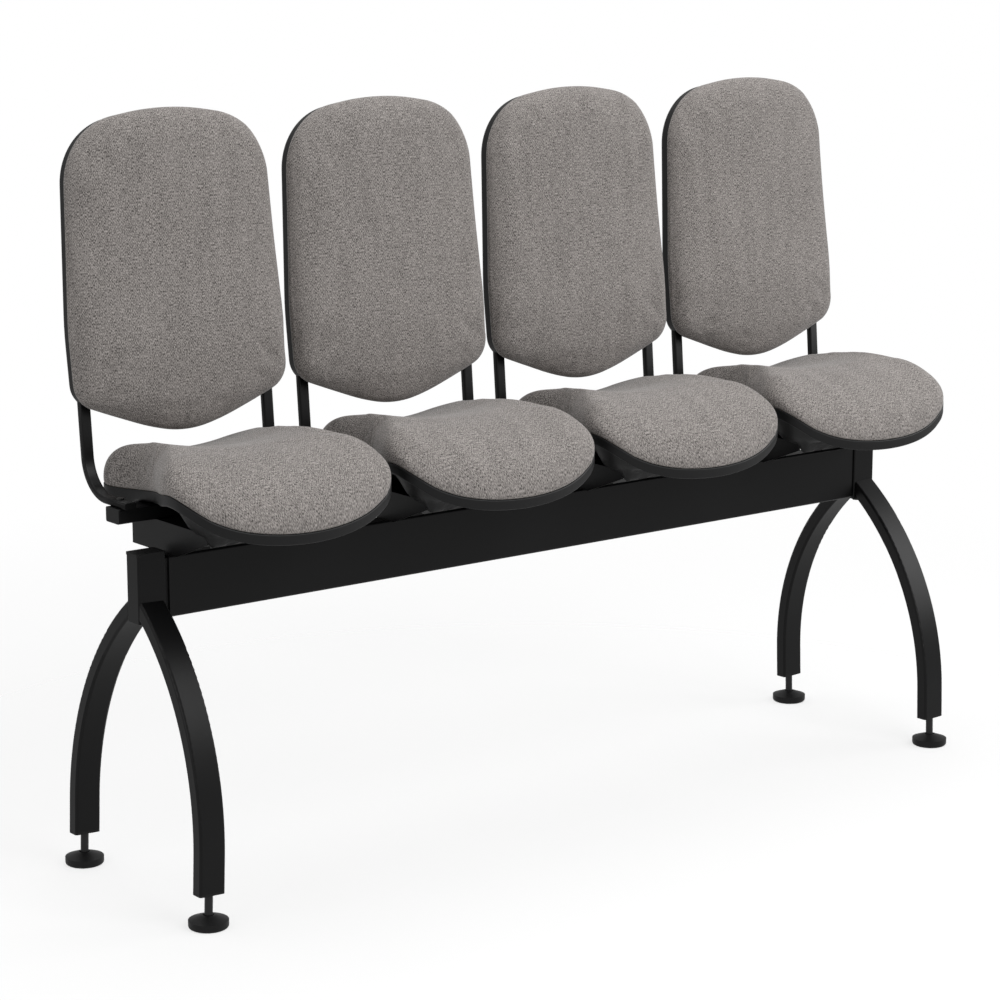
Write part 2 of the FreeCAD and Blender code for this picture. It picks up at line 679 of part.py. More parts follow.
# Back outline and levels across the back's thickness, front positive, in the leaning frame
board_front = -(size("back_pad_rear") + size("soft_gap"))
board_rear = board_front - size("back_board_thickness")
upright_middle = board_rear - size("upright_thickness") / 2.0
shell_rear = board_front - size("back_shell_depth")
back_points = []
for side in (-1.0, 1.0):
    for rise in (size("back_screw_up"), -size("back_screw_down")):
        back_points.append((side * size("upright_spacing") / 2.0, rise))


def back_outline(inset=0.0):
    """Outline of a back, moved inwards by a distance."""
    half = [
        (0.0, size("back_top"), 404.0),
        (size("back_shoulder_half"), size("back_shoulder_up"), 100.0),
        (size("back_half_width"), -size("back_waist_down"), 600.0),
        (size("back_corner_half"), -size("back_corner_down"), 40.0),
        (size("back_knee_half"), -size("back_knee_down"), 380.0),
        (0.0, -size("back_bottom"), 160.0),
    ]
    edges = rounded_polygon(mirrored(half))
    return drawn_in(edges, inset) if inset else edges


def place_back(item, index):
    """Lean a back piece and put it at its place."""
    item.Placement = Placement(Vector(), Rotation(Vector(1, 0, 0), 90.0 - size("back_lean")))
    place(item, x=PLACE_X % index, y="Sizes.beam_line_back + Sizes.back_middle_back",
          z="Sizes.back_middle_height")


def upright_side(thin):
    """Side view of an upright: arm, bend and leaning bar, drawn in by a wall where thin is more than 0."""
    half = size("upright_thickness") / 2.0 - thin
    lean = math.radians(size("back_lean"))
    up = Vector(math.sin(lean), math.cos(lean), 0)
    out = Vector(math.cos(lean), -math.sin(lean), 0)
    middle = Vector(size("back_middle_back"), size("back_middle_height"), 0) - out * upright_middle
    bend = size("upright_bend")
    turn_z = bar_top + size("upright_thickness") / 2.0 + bend
    start_z = turn_z - bend * math.sin(lean)
    start = middle + up * ((start_z - middle.y) / up.y)
    turn = start - out * bend
    top = middle + up * size("upright_top")
    half_way = Vector(math.sin((math.pi / 2.0 - lean) / 2.0), -math.cos((math.pi / 2.0 - lean) / 2.0), 0)
    front_y = size("arm_front")
    rows = []
    for radius in (bend + half, bend - half):
        shift = out * (radius - bend)
        rows.append((Vector(front_y, turn.y - radius, 0), Vector(turn.x, turn.y - radius, 0),
                     turn + half_way * radius, start + shift, top + shift))
    tip_out, low_out, bend_out, start_out, top_out = rows[0]
    tip_in, low_in, bend_in, start_in, top_in = rows[1]
    return [
        Part.LineSegment(tip_out, low_out),
        Part.Arc(low_out, bend_out, start_out),
        Part.LineSegment(start_out, top_out),
        Part.LineSegment(top_out, top_in),
        Part.LineSegment(top_in, start_in),
        Part.Arc(start_in, bend_in, low_in),
        Part.LineSegment(low_in, tip_in),
        Part.LineSegment(tip_in, tip_out),
    ]


bracket_bolts = []
seat_screws = []
upright_bolts = []
back_screws = []
bar_plugs = []
for index in places:
    number = index + 1

    # Bracket on the beam, with the two tubes that carry the seat welded to it
    bracket = new_body("seat_bracket_%d" % number)
    channel = new_sketch(bracket, "channel", "XZ_Plane", along="-Sizes.bracket_rear", up=BEAM_TOP)
    wide = size("bracket_half_width")
    high = size("bracket_height")
    sheet_wall = size("bracket_sheet")
    channel.addGeometry(polygon([
        (-wide, 0.0), (-wide, high), (wide, high), (wide, 0.0),
        (wide - sheet_wall, 0.0), (wide - sheet_wall, high - sheet_wall),
        (sheet_wall - wide, high - sheet_wall), (sheet_wall - wide, 0.0),
    ]), False)
    pad(bracket, channel, "Sizes.bracket_rear + Sizes.bracket_front")
    tabs = new_sketch(bracket, "tabs", "XY_Plane", along=BEAM_TOP)
    reach = wide - sheet_wall - size("tab_reach")
    deep = size("tab_depth") / 2.0
    for side in (-1.0, 1.0):
        near = side * (wide - sheet_wall / 2.0)
        tabs.addGeometry(polygon([(near, -deep), (side * reach, -deep), (side * reach, deep), (near, deep)]), False)
    pad(bracket, tabs, "Sizes.bracket_sheet")
    gusset = new_sketch(bracket, "gusset", "YZ_Plane")
    gusset_start = -size("gusset_start")
    front_end = -size("bracket_front") - 1.0
    gusset.addGeometry(polygon([(gusset_start, beam_top - 1.0), (gusset_start, beam_top),
                                (front_end, beam_top + size("gusset_rise")), (front_end, beam_top - 1.0)]), False)
    pocket(bracket, gusset, "2 * Sizes.bracket_half_width + 2", symmetric=True)
    bars = (("rear_bar", "Sizes.rear_bar_back", "Sizes.rear_bar_length"),
            ("front_bar", "-Sizes.front_bar_forward", "Sizes.front_bar_length"))
    bar_level = BEAM_TOP + " + Sizes.bracket_height + Sizes.bar_height / 2"
    for name, across, length in bars:
        bar = new_sketch(bracket, name, "YZ_Plane", right=across, up=bar_level)
        add_rounded_rectangle(bar, "Sizes.bar_depth", "Sizes.bar_height", "Sizes.bar_corner",
                              size("bar_depth"), size("bar_height"), size("bar_corner"))
        pad(bracket, bar, length, symmetric=True)
    for name, across, length in bars:
        bore = new_sketch(bracket, name + "_bore", "YZ_Plane", right=across, up=bar_level)
        add_rounded_rectangle(bore, "Sizes.bar_depth - 2 * Sizes.bar_wall", "Sizes.bar_height - 2 * Sizes.bar_wall",
                              "Sizes.bar_corner - Sizes.bar_wall", size("bar_depth") - 2.0 * size("bar_wall"),
                              size("bar_height") - 2.0 * size("bar_wall"), size("bar_corner") - size("bar_wall"))
        pocket(bracket, bore, length, symmetric=True)
    pitch_holes(bracket, "screw_holes", BAR_TOP, SCREW_HOLE, screw_hole, seat_points,
                "Sizes.bar_height + Sizes.bracket_sheet + 1")
    pitch_holes(bracket, "upright_holes", BAR_TOP, SCREW_HOLE, screw_hole, upright_points, "2 * Sizes.bar_wall")
    pitch_holes(bracket, "tab_holes", BEAM_TOP + " + Sizes.bracket_sheet",
                "Sizes.bolt_radius + Sizes.screw_hole_clearance", size("bolt_radius") + size("screw_hole_clearance"),
                [(-tab_bolt_x, 0.0), (tab_bolt_x, 0.0)], "2 * Sizes.bracket_sheet")
    place(bracket, x=PLACE_X % index)

    for name, across, length in bars:
        for sign in ("-", ""):
            cover = new_body("bar_plug_%d_%d" % (number, len(bar_plugs)), own_file=False)
            lip = new_sketch(cover, "lip", "YZ_Plane", right=across, up=bar_level)
            add_rounded_rectangle(lip, "Sizes.bar_depth", "Sizes.bar_height", "Sizes.bar_corner",
                                  size("bar_depth"), size("bar_height"), size("bar_corner"))
            pad(cover, lip, "Sizes.bar_plug_lip", reverse=bool(sign))
            insert = new_sketch(cover, "insert", "YZ_Plane", right=across, up=bar_level)
            add_rounded_rectangle(insert, "Sizes.bar_depth - 2 * (Sizes.bar_wall + Sizes.plug_clearance)",
                                  "Sizes.bar_height - 2 * (Sizes.bar_wall + Sizes.plug_clearance)",
                                  "Sizes.bar_corner - Sizes.bar_wall",
                                  size("bar_depth") - 2.0 * (size("bar_wall") + size("plug_clearance")),
                                  size("bar_height") - 2.0 * (size("bar_wall") + size("plug_clearance")),
                                  size("bar_corner") - size("bar_wall"))
            pad(cover, insert, "Sizes.bar_plug_depth", reverse=not sign)
            place(cover, x="%s %s %s / 2" % (PLACE_X % index, sign or "+", length))
            bar_plugs.append(cover)
    for sign in ("-", "+"):
        bracket_bolts.append(screw("bracket_bolt_%d_%d" % (number, len(bracket_bolts)),
                                   "%s %s %s" % (PLACE_X % index, sign, TAB_BOLT_X),
                                   "Sizes.beam_line_back", BEAM_TOP + " + Sizes.bracket_sheet",
                                   "Sizes.bolt_length", bolt=True))

    # Seat shell: a pan with a curved rim and a flat belly on the bracket's tubes
    rim_slab = new_body("seat_rim_%d" % number, own_file=False)
    slab = seat_slab(rim_slab, 0.0, 0.0, bottom_drop=size("rim_band"))
    seams = [arc.EndPoint.x for arc in rim_arcs()]

    def under_rim(edge):
        """Test for the edges that run round the rim's lower side."""
        middle = edge.valueAt((edge.FirstParameter + edge.LastParameter) / 2.0)
        low = abs(middle.z - rim_height(middle.y) + size("rim_band")) < 0.05
        return low and min(abs(middle.y - seam) for seam in seams) > 0.01
    round_edges(rim_slab, slab, "Sizes.rim_round", under_rim)
    belly = new_body("seat_belly_%d" % number, own_file=False)
    seat_slab(belly, size("belly_inset"), size("rim_band") - 2.0, bottom=bar_top)
    whole = doc.addObject("Part::Fuse", "seat_form_%d" % number)
    whole.Base = rim_slab
    whole.Tool = belly
    pan_room = new_body("seat_pan_room_%d" % number, own_file=False)
    seat_slab(pan_room, size("shell_wall"), None, bottom_drop=size("rim_band") - size("shell_wall"))
    belly_room = new_body("seat_belly_room_%d" % number, own_file=False)
    seat_slab(belly_room, size("belly_inset") + size("shell_wall"), None, bottom=bar_top + size("shell_wall"))
    pitch_holes(belly_room, "bosses", "%f" % (size("rim_side") + ROOM_HEIGHT), "Sizes.boss_radius",
                size("boss_radius"), seat_points, "%f" % (ROOM_HEIGHT * 3.0))
    rooms = [pan_room, belly_room]
    for spot, (x, y) in enumerate(seat_points):
        hole = doc.addObject("Part::Cylinder", "seat_hole_%d_%d" % (number, spot))
        hole.setExpression("Radius", SCREW_HOLE)
        hole.Height = ROOM_HEIGHT
        hole.Placement = Placement(Vector(x, y, bar_top - 5.0), Rotation())
        rooms.append(hole)
    cuts = doc.addObject("Part::MultiFuse", "seat_rooms_%d" % number)
    cuts.Shapes = rooms
    shell = doc.addObject("Part::Cut", "seat_shell_%d" % number)
    shell.Base = whole
    shell.Tool = cuts
    shell.Label = "seat_shell_%d" % number
    place(shell, x=PLACE_X % index)
    finished.append(shell)

    board = new_body("seat_board_%d" % number)
    seat_slab(board, size("shell_wall") + size("board_clearance"), 0.0, bottom_drop=size("board_thickness"))
    pitch_holes(board, "holes", "%f" % size("rim_side"), THREAD_HOLE, thread_hole, seat_points,
                "%f" % ROOM_HEIGHT)
    place(board, x=PLACE_X % index)

    # Seat cushion: arched sections from the rear to the front, cut to the plan and seated on the rim
    cushion = new_body("seat_cushion_%d" % number)
    half_span = size("seat_lobe_half") + 10.0
    floor = size("rim_front") - 20.0
    dish = size("cushion_dish")
    rows = [
        (size("seat_rear") + 12.0, size("cushion_hump") - 2.0, -dish),
        (size("seat_rear") - 46.0, size("cushion_hump"), -dish),
        (75.0, size("cushion_dip"), -dish),
        (20.0, size("cushion_middle"), -dish),
        (-40.0, size("cushion_thigh") - 5.0, -0.55 * dish),
        (8.0 - size("seat_lobe_rear"), size("cushion_thigh"), -0.15 * dish),
        (-160.0, 0.5 * (size("cushion_thigh") + size("cushion_nose")), 0.6 * size("cushion_crown")),
        (33.0 - size("seat_front"), size("cushion_nose"), size("cushion_crown")),
        (-size("seat_front"), size("cushion_lip"), size("cushion_crown")),
        (-size("seat_front") - 10.0, size("cushion_lip") - 10.0, size("cushion_crown")),
    ]
    sections = []
    for spot, (y, top, crown) in enumerate(rows):
        section = new_sketch(cushion, "row_%d" % spot, "XZ_Plane", along="%f" % -y)
        side_top = top - crown
        section.addGeometry([
            Part.LineSegment(Vector(-half_span, floor, 0), Vector(half_span, floor, 0)),
            Part.LineSegment(Vector(half_span, floor, 0), Vector(half_span, side_top, 0)),
            Part.Arc(Vector(half_span, side_top, 0), Vector(0, top, 0), Vector(-half_span, side_top, 0)),
            Part.LineSegment(Vector(-half_span, side_top, 0), Vector(-half_span, floor, 0)),
        ], False)
        sections.append(section)
    loft = cushion.newObject("PartDesign::AdditiveLoft", cushion.Label + "_loft")
    loft.Profile = sections[0]
    loft.Sections = sections[1:]
    around = new_sketch(cushion, "around", "XY_Plane", along="%f" % (size("rim_side") + 2.0 * ROOM_HEIGHT))
    around.addGeometry(polygon([(-300.0, -400.0), (300.0, -400.0), (300.0, 300.0), (-300.0, 300.0)]), False)
    around.addGeometry(seat_outline(), False)
    pocket(cushion, around, "%f" % (4.0 * ROOM_HEIGHT))
    under = new_sketch(cushion, "under", "YZ_Plane")
    under.addGeometry(side_region(-size("soft_gap"), floor - 20.0), False)
    last = pocket(cushion, under, SEAT_SPAN, symmetric=True)
    doc.recompute()
    crown = max(last.Shape.Faces, key=lambda face: face.Area * (face.CenterOfMass.z > size("rim_side")))
    rims = [edge.hashCode() for edge in crown.Edges]
    round_edges(cushion, last, "Sizes.seat_edge_round", lambda edge: edge.hashCode() in rims)
    place(cushion, x=PLACE_X % index)

    spots = []
    for spot, (x, y) in enumerate(seat_points):
        length = rim_height(y) - 2.0 - (bar_top - size("bar_height") - size("bracket_sheet"))
        spots.append(screw("seat_screw_%d_%d" % (number, spot), "%f" % x, "%f" % y,
                           BAR_TOP + " - Sizes.bar_height - Sizes.bracket_sheet", "%f" % length, down=False))
    bundle = group("seat_screws_%d" % number, spots, own_file=False)
    place(bundle, x=PLACE_X % index)
    seat_screws.append(bundle)

    # Uprights, one bent tube at each side, bolted on the rear tube's top
    for name, sign in (("left", "-"), ("right", "+")):
        upright = new_body("upright_%s_%d" % (name, number))
        profile = new_sketch(upright, "side", "YZ_Plane")
        profile.addGeometry(upright_side(0.0), False)
        tube = pad(upright, profile, "Sizes.upright_width", symmetric=True)
        shortest = max(size("upright_width"), size("upright_thickness")) + 1.0
        round_edges(upright, tube, "Sizes.upright_corner", lambda edge: edge.Length > shortest)
        hollow = new_sketch(upright, "hollow", "YZ_Plane")
        hollow.addGeometry(upright_side(size("upright_wall")), False)
        pocket(upright, hollow, "Sizes.upright_width - 2 * Sizes.upright_wall", symmetric=True)
        pitch_holes(upright, "bolt_hole", BAR_TOP + " + Sizes.upright_thickness", SCREW_HOLE, screw_hole,
                    [(0.0, size("rear_bar_back"))], "Sizes.upright_thickness + 1")
        cross = new_sketch(upright, "screw_holes", "XZ_Plane")
        leaning = Rotation(Vector(1, 0, 0), -size("back_lean"))
        cross.AttachmentOffset = Placement(Vector(), leaning)
        cross.setExpression("AttachmentOffset.Base.y", "Sizes.back_middle_height")
        cross.setExpression("AttachmentOffset.Base.z", "-Sizes.back_middle_back")
        for rise in (size("back_screw_up"), -size("back_screw_down")):
            add_circle(cross, SCREW_HOLE, screw_hole, y=rise)
        pocket(upright, cross, "4 * Sizes.back_shell_depth", symmetric=True)
        place(upright, x="%s %s Sizes.upright_spacing / 2" % (PLACE_X % index, sign))
        upright_bolts.append(screw("upright_bolt_%d_%s" % (number, name),
                                   "%s %s Sizes.upright_spacing / 2" % (PLACE_X % index, sign),
                                   "Sizes.beam_line_back + Sizes.rear_bar_back",
                                   BAR_TOP + " + Sizes.upright_thickness",
                                   "Sizes.upright_thickness + Sizes.bar_wall + 4"))

    # Back shell, board and cushion, drawn flat and then leaned
    shell = new_body("back_shell_%d" % number)
    plan = new_sketch(shell, "plan", "XY_Plane", along="%f" % shell_rear)
    plan.addGeometry(back_outline(size("back_shell_inset")), False)
    pad(shell, plan, "Sizes.back_shell_depth")
    room = new_sketch(shell, "room", "XY_Plane", along="%f" % board_front)
    room.addGeometry(back_outline(size("back_shell_inset") + size("back_shell_wall")), False)
    last = pocket(shell, room, "Sizes.back_shell_depth - Sizes.back_shell_wall")
    floor_level = shell_rear + size("back_shell_wall")

    def at_level(level):
        """Test for edges that lie flat at one level across the back's thickness."""
        return lambda edge: abs(edge.BoundBox.ZMin - level) < 0.01 and abs(edge.BoundBox.ZMax - level) < 0.01
    last = round_edges(shell, last, "Sizes.back_shell_round - Sizes.back_shell_wall", at_level(floor_level))
    last = round_edges(shell, last, "Sizes.back_shell_round", at_level(shell_rear))
    bosses = new_sketch(shell, "bosses", "XY_Plane", along="%f" % (floor_level - 1.0))
    for x, y in back_points:
        add_circle(bosses, "Sizes.screw_head_radius", size("screw_head_radius"), x=x, y=y)
    boss_top = upright_middle - size("upright_thickness") / 2.0
    pad(shell, bosses, "%f" % (boss_top - floor_level + 1.0))
    pitch_holes(shell, "holes", "%f" % boss_top, SCREW_HOLE, screw_hole, back_points, "%f" % ROOM_HEIGHT)
    slots = new_sketch(shell, "slots", "XZ_Plane", along="Sizes.back_corner_down - 25")
    slot_half = size("upright_width") / 2.0 + size("slot_clearance")
    slot_low = upright_middle - size("upright_thickness") / 2.0 - size("slot_clearance")
    for side in (-1.0, 1.0):
        middle = side * size("upright_spacing") / 2.0
        slots.addGeometry(polygon([(middle - slot_half, slot_low), (middle + slot_half, slot_low),
                                   (middle + slot_half, 0.0), (middle - slot_half, 0.0)]), False)
    pocket(shell, slots, "60", reverse=True)
    place_back(shell, index)

    board = new_body("back_board_%d" % number)
    plan = new_sketch(board, "plan", "XY_Plane", along="%f" % board_rear)
    plan.addGeometry(back_outline(size("back_board_inset")), False)
    pad(board, plan, "Sizes.back_board_thickness")
    pitch_holes(board, "holes", "%f" % board_front, THREAD_HOLE, thread_hole, back_points,
                "Sizes.back_board_thickness + 1")
    place_back(board, index)

    cushion = new_body("back_cushion_%d" % number)
    half_span = size("back_half_width") + 8.0
    rear = -size("back_pad_rear")
    middle_front = size("back_pad_middle")
    swell = size("lumbar_depth")
    rows = [
        (size("back_top") + 12.0, middle_front - 5.0),
        (size("back_top") - 96.0, middle_front),
        (60.0, middle_front + 1.0),
        (-30.0, middle_front + 0.6 * swell),
        (-100.0, middle_front + swell),
        (-170.0, middle_front + 0.6 * swell),
        (-size("back_bottom") - 12.0, middle_front - 4.0),
    ]
    sections = []
    for spot, (rise, front) in enumerate(rows):
        section = new_sketch(cushion, "row_%d" % spot, "XZ_Plane", along="%f" % -rise)
        side_front = size("back_pad_side")
        section.addGeometry([
            Part.LineSegment(Vector(-half_span, rear, 0), Vector(half_span, rear, 0)),
            Part.LineSegment(Vector(half_span, rear, 0), Vector(half_span, side_front, 0)),
            Part.Arc(Vector(half_span, side_front, 0), Vector(0, front, 0), Vector(-half_span, side_front, 0)),
            Part.LineSegment(Vector(-half_span, side_front, 0), Vector(-half_span, rear, 0)),
        ], False)
        sections.append(section)
    loft = cushion.newObject("PartDesign::AdditiveLoft", cushion.Label + "_loft")
    loft.Profile = sections[0]
    loft.Sections = sections[1:]
    around = new_sketch(cushion, "around", "XY_Plane", along="%f" % ROOM_HEIGHT)
    around.addGeometry(polygon([(-300.0, -400.0), (300.0, -400.0), (300.0, 400.0), (-300.0, 400.0)]), False)
    around.addGeometry(back_outline(), False)
    last = pocket(cushion, around, "%f" % (2.0 * ROOM_HEIGHT))
    doc.recompute()
    front_faces = [face for face in last.Shape.Faces if face.BoundBox.ZMax > middle_front]
    crown = max(front_faces, key=lambda face: face.Area)
    rims = [edge.hashCode() for edge in crown.Edges]
    last = round_edges(cushion, last, "Sizes.back_edge_round", lambda edge: edge.hashCode() in rims)
    round_edges(cushion, last, "Sizes.back_rear_round", at_level(rear))
    place_back(cushion, index)

    spots = []
    for spot, (x, y) in enumerate(back_points):
        spots.append(screw("back_screw_%d_%d" % (number, spot), "%f" % x, "%f" % y, "%f" % shell_rear,
                           "%f" % (board_front - 1.0 - shell_rear), down=False))
    bundle = group("back_screws_%d" % number, spots, own_file=False)
    place_back(bundle, index)
    back_screws.append(bundle)

group("bar_plugs", bar_plugs)
group("bracket_bolts", bracket_bolts)
group("seat_screws", seat_screws)
group("upright_bolts", upright_bolts)
group("back_screws", back_screws)

# Check every object, then write one file for each piece
doc.recompute()
for item in doc.Objects:
    if "Invalid" in item.State or "Error" in item.State:
        raise RuntimeError("%s did not build: %s" % (item.Label, item.State))
os.makedirs("parts", exist_ok=True)
for item in finished:
    if item.Shape.isNull() or not item.Shape.isValid():
        raise RuntimeError("%s has no valid shape" % item.Label)
    item.Shape.exportStep("parts/%s.step" % item.Label)
print("%d pieces written" % len(finished))
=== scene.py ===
import math

import bpy
import numpy as np
from mathutils import Matrix, Vector


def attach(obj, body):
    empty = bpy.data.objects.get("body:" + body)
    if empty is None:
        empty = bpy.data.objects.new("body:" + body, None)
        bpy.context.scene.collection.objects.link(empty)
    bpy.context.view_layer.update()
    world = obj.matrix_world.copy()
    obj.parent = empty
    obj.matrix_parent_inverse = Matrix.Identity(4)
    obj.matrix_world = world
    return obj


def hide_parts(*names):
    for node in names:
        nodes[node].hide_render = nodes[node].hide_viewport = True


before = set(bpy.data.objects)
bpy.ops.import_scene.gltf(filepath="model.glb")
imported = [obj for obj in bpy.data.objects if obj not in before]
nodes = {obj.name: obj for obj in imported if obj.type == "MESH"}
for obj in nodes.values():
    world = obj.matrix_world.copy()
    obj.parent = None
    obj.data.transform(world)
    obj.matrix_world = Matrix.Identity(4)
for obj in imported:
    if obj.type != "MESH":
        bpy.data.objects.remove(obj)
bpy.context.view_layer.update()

# Beam, heads, legs and seat brackets.
# Welded and bent steel, shot blasted and covered with satin black powder that
# melts to a faint orange peel, whose gloss drifts a little from place to place.
STEEL_BLACK = (0.0045, 0.0045, 0.0047, 1.0)
PEEL_SCALE = 420.0
PEEL_HEIGHT = 0.00012
WEAR_SCALE = 9.0
WEAR_SPREAD = 0.06
GRAIN_STRENGTH = 0.6


def coated_black(name, colour, gloss, roughness, grain_scale, grain_height):
    """Black finish: one colour, roughness that drifts slowly, and a fine grain as bump."""
    material = bpy.data.materials.new(name)
    material.use_nodes = True
    tree = material.node_tree
    shader = tree.nodes["Principled BSDF"]
    shader.inputs["Base Color"].default_value = colour
    shader.inputs["Specular IOR Level"].default_value = gloss
    place = tree.nodes.new("ShaderNodeTexCoord")
    drift = tree.nodes.new("ShaderNodeTexNoise")
    drift.inputs["Scale"].default_value = WEAR_SCALE
    drift.inputs["Detail"].default_value = 3.0
    tree.links.new(place.outputs["Object"], drift.inputs["Vector"])
    spread = tree.nodes.new("ShaderNodeMapRange")
    spread.inputs["To Min"].default_value = roughness - WEAR_SPREAD
    spread.inputs["To Max"].default_value = roughness + WEAR_SPREAD
    tree.links.new(drift.outputs["Fac"], spread.inputs["Value"])
    tree.links.new(spread.outputs["Result"], shader.inputs["Roughness"])
    grain = tree.nodes.new("ShaderNodeTexNoise")
    grain.inputs["Scale"].default_value = grain_scale
    grain.inputs["Detail"].default_value = 2.0
    tree.links.new(place.outputs["Object"], grain.inputs["Vector"])
    bump = tree.nodes.new("ShaderNodeBump")
    bump.inputs["Strength"].default_value = GRAIN_STRENGTH
    bump.inputs["Distance"].default_value = grain_height
    tree.links.new(grain.outputs["Fac"], bump.inputs["Height"])
    tree.links.new(bump.outputs["Normal"], shader.inputs["Normal"])
    return material


powder_coat = coated_black("satin_powder_coat", STEEL_BLACK, gloss=0.22, roughness=0.36,
                           grain_scale=PEEL_SCALE, grain_height=PEEL_HEIGHT)


def dress(name, material):
    """Give a carried-over solid its finish and the record's slot."""
    node = nodes[name]
    node.data.materials.clear()
    node.data.materials.append(material)


CORNERS = ("left_front", "left_rear", "right_front", "right_rear")
PLACES = (1, 2, 3, 4)
steel_names = ["beam", "left_head", "right_head"] + ["leg_" + corner for corner in CORNERS]
steel_names += ["seat_bracket_%d" % place for place in PLACES]
for steel_name in steel_names:
    dress(steel_name, powder_coat)

# Head caps, leg plugs and bar plugs.
# Moulded nylon pushed into the open ends of the tubes, with the fine spark-eroded
# grain of its mould.
TRIM_BLACK = (0.006, 0.006, 0.0062, 1.0)
trim_plastic = coated_black("moulded_nylon", TRIM_BLACK, gloss=0.25, roughness=0.48,
                            grain_scale=900.0, grain_height=0.0001)
for trim_name in ("head_caps", "leg_plugs", "bar_plugs"):
    dress(trim_name, trim_plastic)

# Levelling feet.
# A nylon disc on the floor with a ball socket, and a blackened steel stem whose
# thread runs up into the plug.
DISC_BLACK = (0.007, 0.007, 0.0072, 1.0)
BLACKENED = (0.012, 0.012, 0.0125, 1.0)
disc_plastic = coated_black("foot_nylon", DISC_BLACK, gloss=0.25, roughness=0.42,
                            grain_scale=700.0, grain_height=0.0001)
stem_finish = coated_black("blackened_thread", BLACKENED, gloss=0.4, roughness=0.33,
                           grain_scale=600.0, grain_height=0.00005)
for corner in CORNERS:
    dress("foot_disc_" + corner, disc_plastic)
    dress("foot_stem_" + corner, stem_finish)

# Screws and bolts.
# Blackened steel, each kind in its own node.
screw_finish = coated_black("blackened_screw", BLACKENED, gloss=0.4, roughness=0.35,
                            grain_scale=500.0, grain_height=0.00005)
for screw_name in ("head_bolts", "bracket_bolts", "seat_screws", "upright_bolts", "back_screws"):
    dress(screw_name, screw_finish)

# Back shells.
# Injection-moulded black plastic with a leather-fine grain that catches the light
# softly along the rim; slots in it take the uprights.
SHELL_BLACK = (0.0075, 0.0075, 0.0077, 1.0)
shell_plastic = coated_black("grained_shell", SHELL_BLACK, gloss=0.28, roughness=0.45,
                             grain_scale=1100.0, grain_height=0.00015)
for place in PLACES:
    dress("back_shell_%d" % place, shell_plastic)

# Boards inside the seats and backs.
# Birch plywood, hidden by the cushions and shells; the grain runs along the width.
PLY_DARK = (0.45, 0.30, 0.17, 1.0)
PLY_LIGHT = (0.62, 0.46, 0.29, 1.0)
PLY_STRETCH = (3.0, 60.0, 60.0)
plywood = bpy.data.materials.new("birch_plywood")
plywood.use_nodes = True
ply_tree = plywood.node_tree
ply_shader = ply_tree.nodes["Principled BSDF"]
ply_shader.inputs["Roughness"].default_value = 0.6
ply_place = ply_tree.nodes.new("ShaderNodeTexCoord")
ply_stretch = ply_tree.nodes.new("ShaderNodeMapping")
ply_stretch.inputs["Scale"].default_value = PLY_STRETCH
ply_grain = ply_tree.nodes.new("ShaderNodeTexNoise")
ply_grain.inputs["Scale"].default_value = 4.0
ply_colour = ply_tree.nodes.new("ShaderNodeValToRGB")
ply_colour.color_ramp.elements[0].color = PLY_DARK
ply_colour.color_ramp.elements[1].color = PLY_LIGHT
ply_tree.links.new(ply_place.outputs["Object"], ply_stretch.inputs["Vector"])
ply_tree.links.new(ply_stretch.outputs["Vector"], ply_grain.inputs["Vector"])
ply_tree.links.new(ply_grain.outputs["Fac"], ply_colour.inputs["Fac"])
ply_tree.links.new(ply_colour.outputs["Color"], ply_shader.inputs["Base Color"])
for place in PLACES:
    dress("seat_board_%d" % place, plywood)
    dress("back_board_%d" % place, plywood)

# Seat pans.
# One black moulded pan under each seat: a band whose edge rises and falls with the
# cushion, and a belly that lies on the bracket's tubes and closes the space below.
# Lengths in millimetres, across, back and up from the beam's middle and the floor.
BEAM_LINE = 8.7
PITCH = 380.0
MM = 0.001
SEAT_CORNERS = [(138.0, 166.0, 42.0), (111.0, 26.0, 190.0), (178.5, -108.0, 112.0),
                (177.0, -177.0, 55.0), (0.0, -248.0, 360.0)]
SEAT_MIDDLE = (0.0, -40.0)
GRID = 97
HALF_GRID = (GRID - 1) / 2.0
RUN_STEPS = 60
RIM_STATIONS = [(182.0, 586.0), (26.0, 591.7), (-108.0, 614.0), (-190.0, 583.2), (-264.0, 543.6)]
RIM_HEADING = math.radians(-3.4)
RIM_ARC_STEPS = 30
MIDDLE_PLACE = 2.5


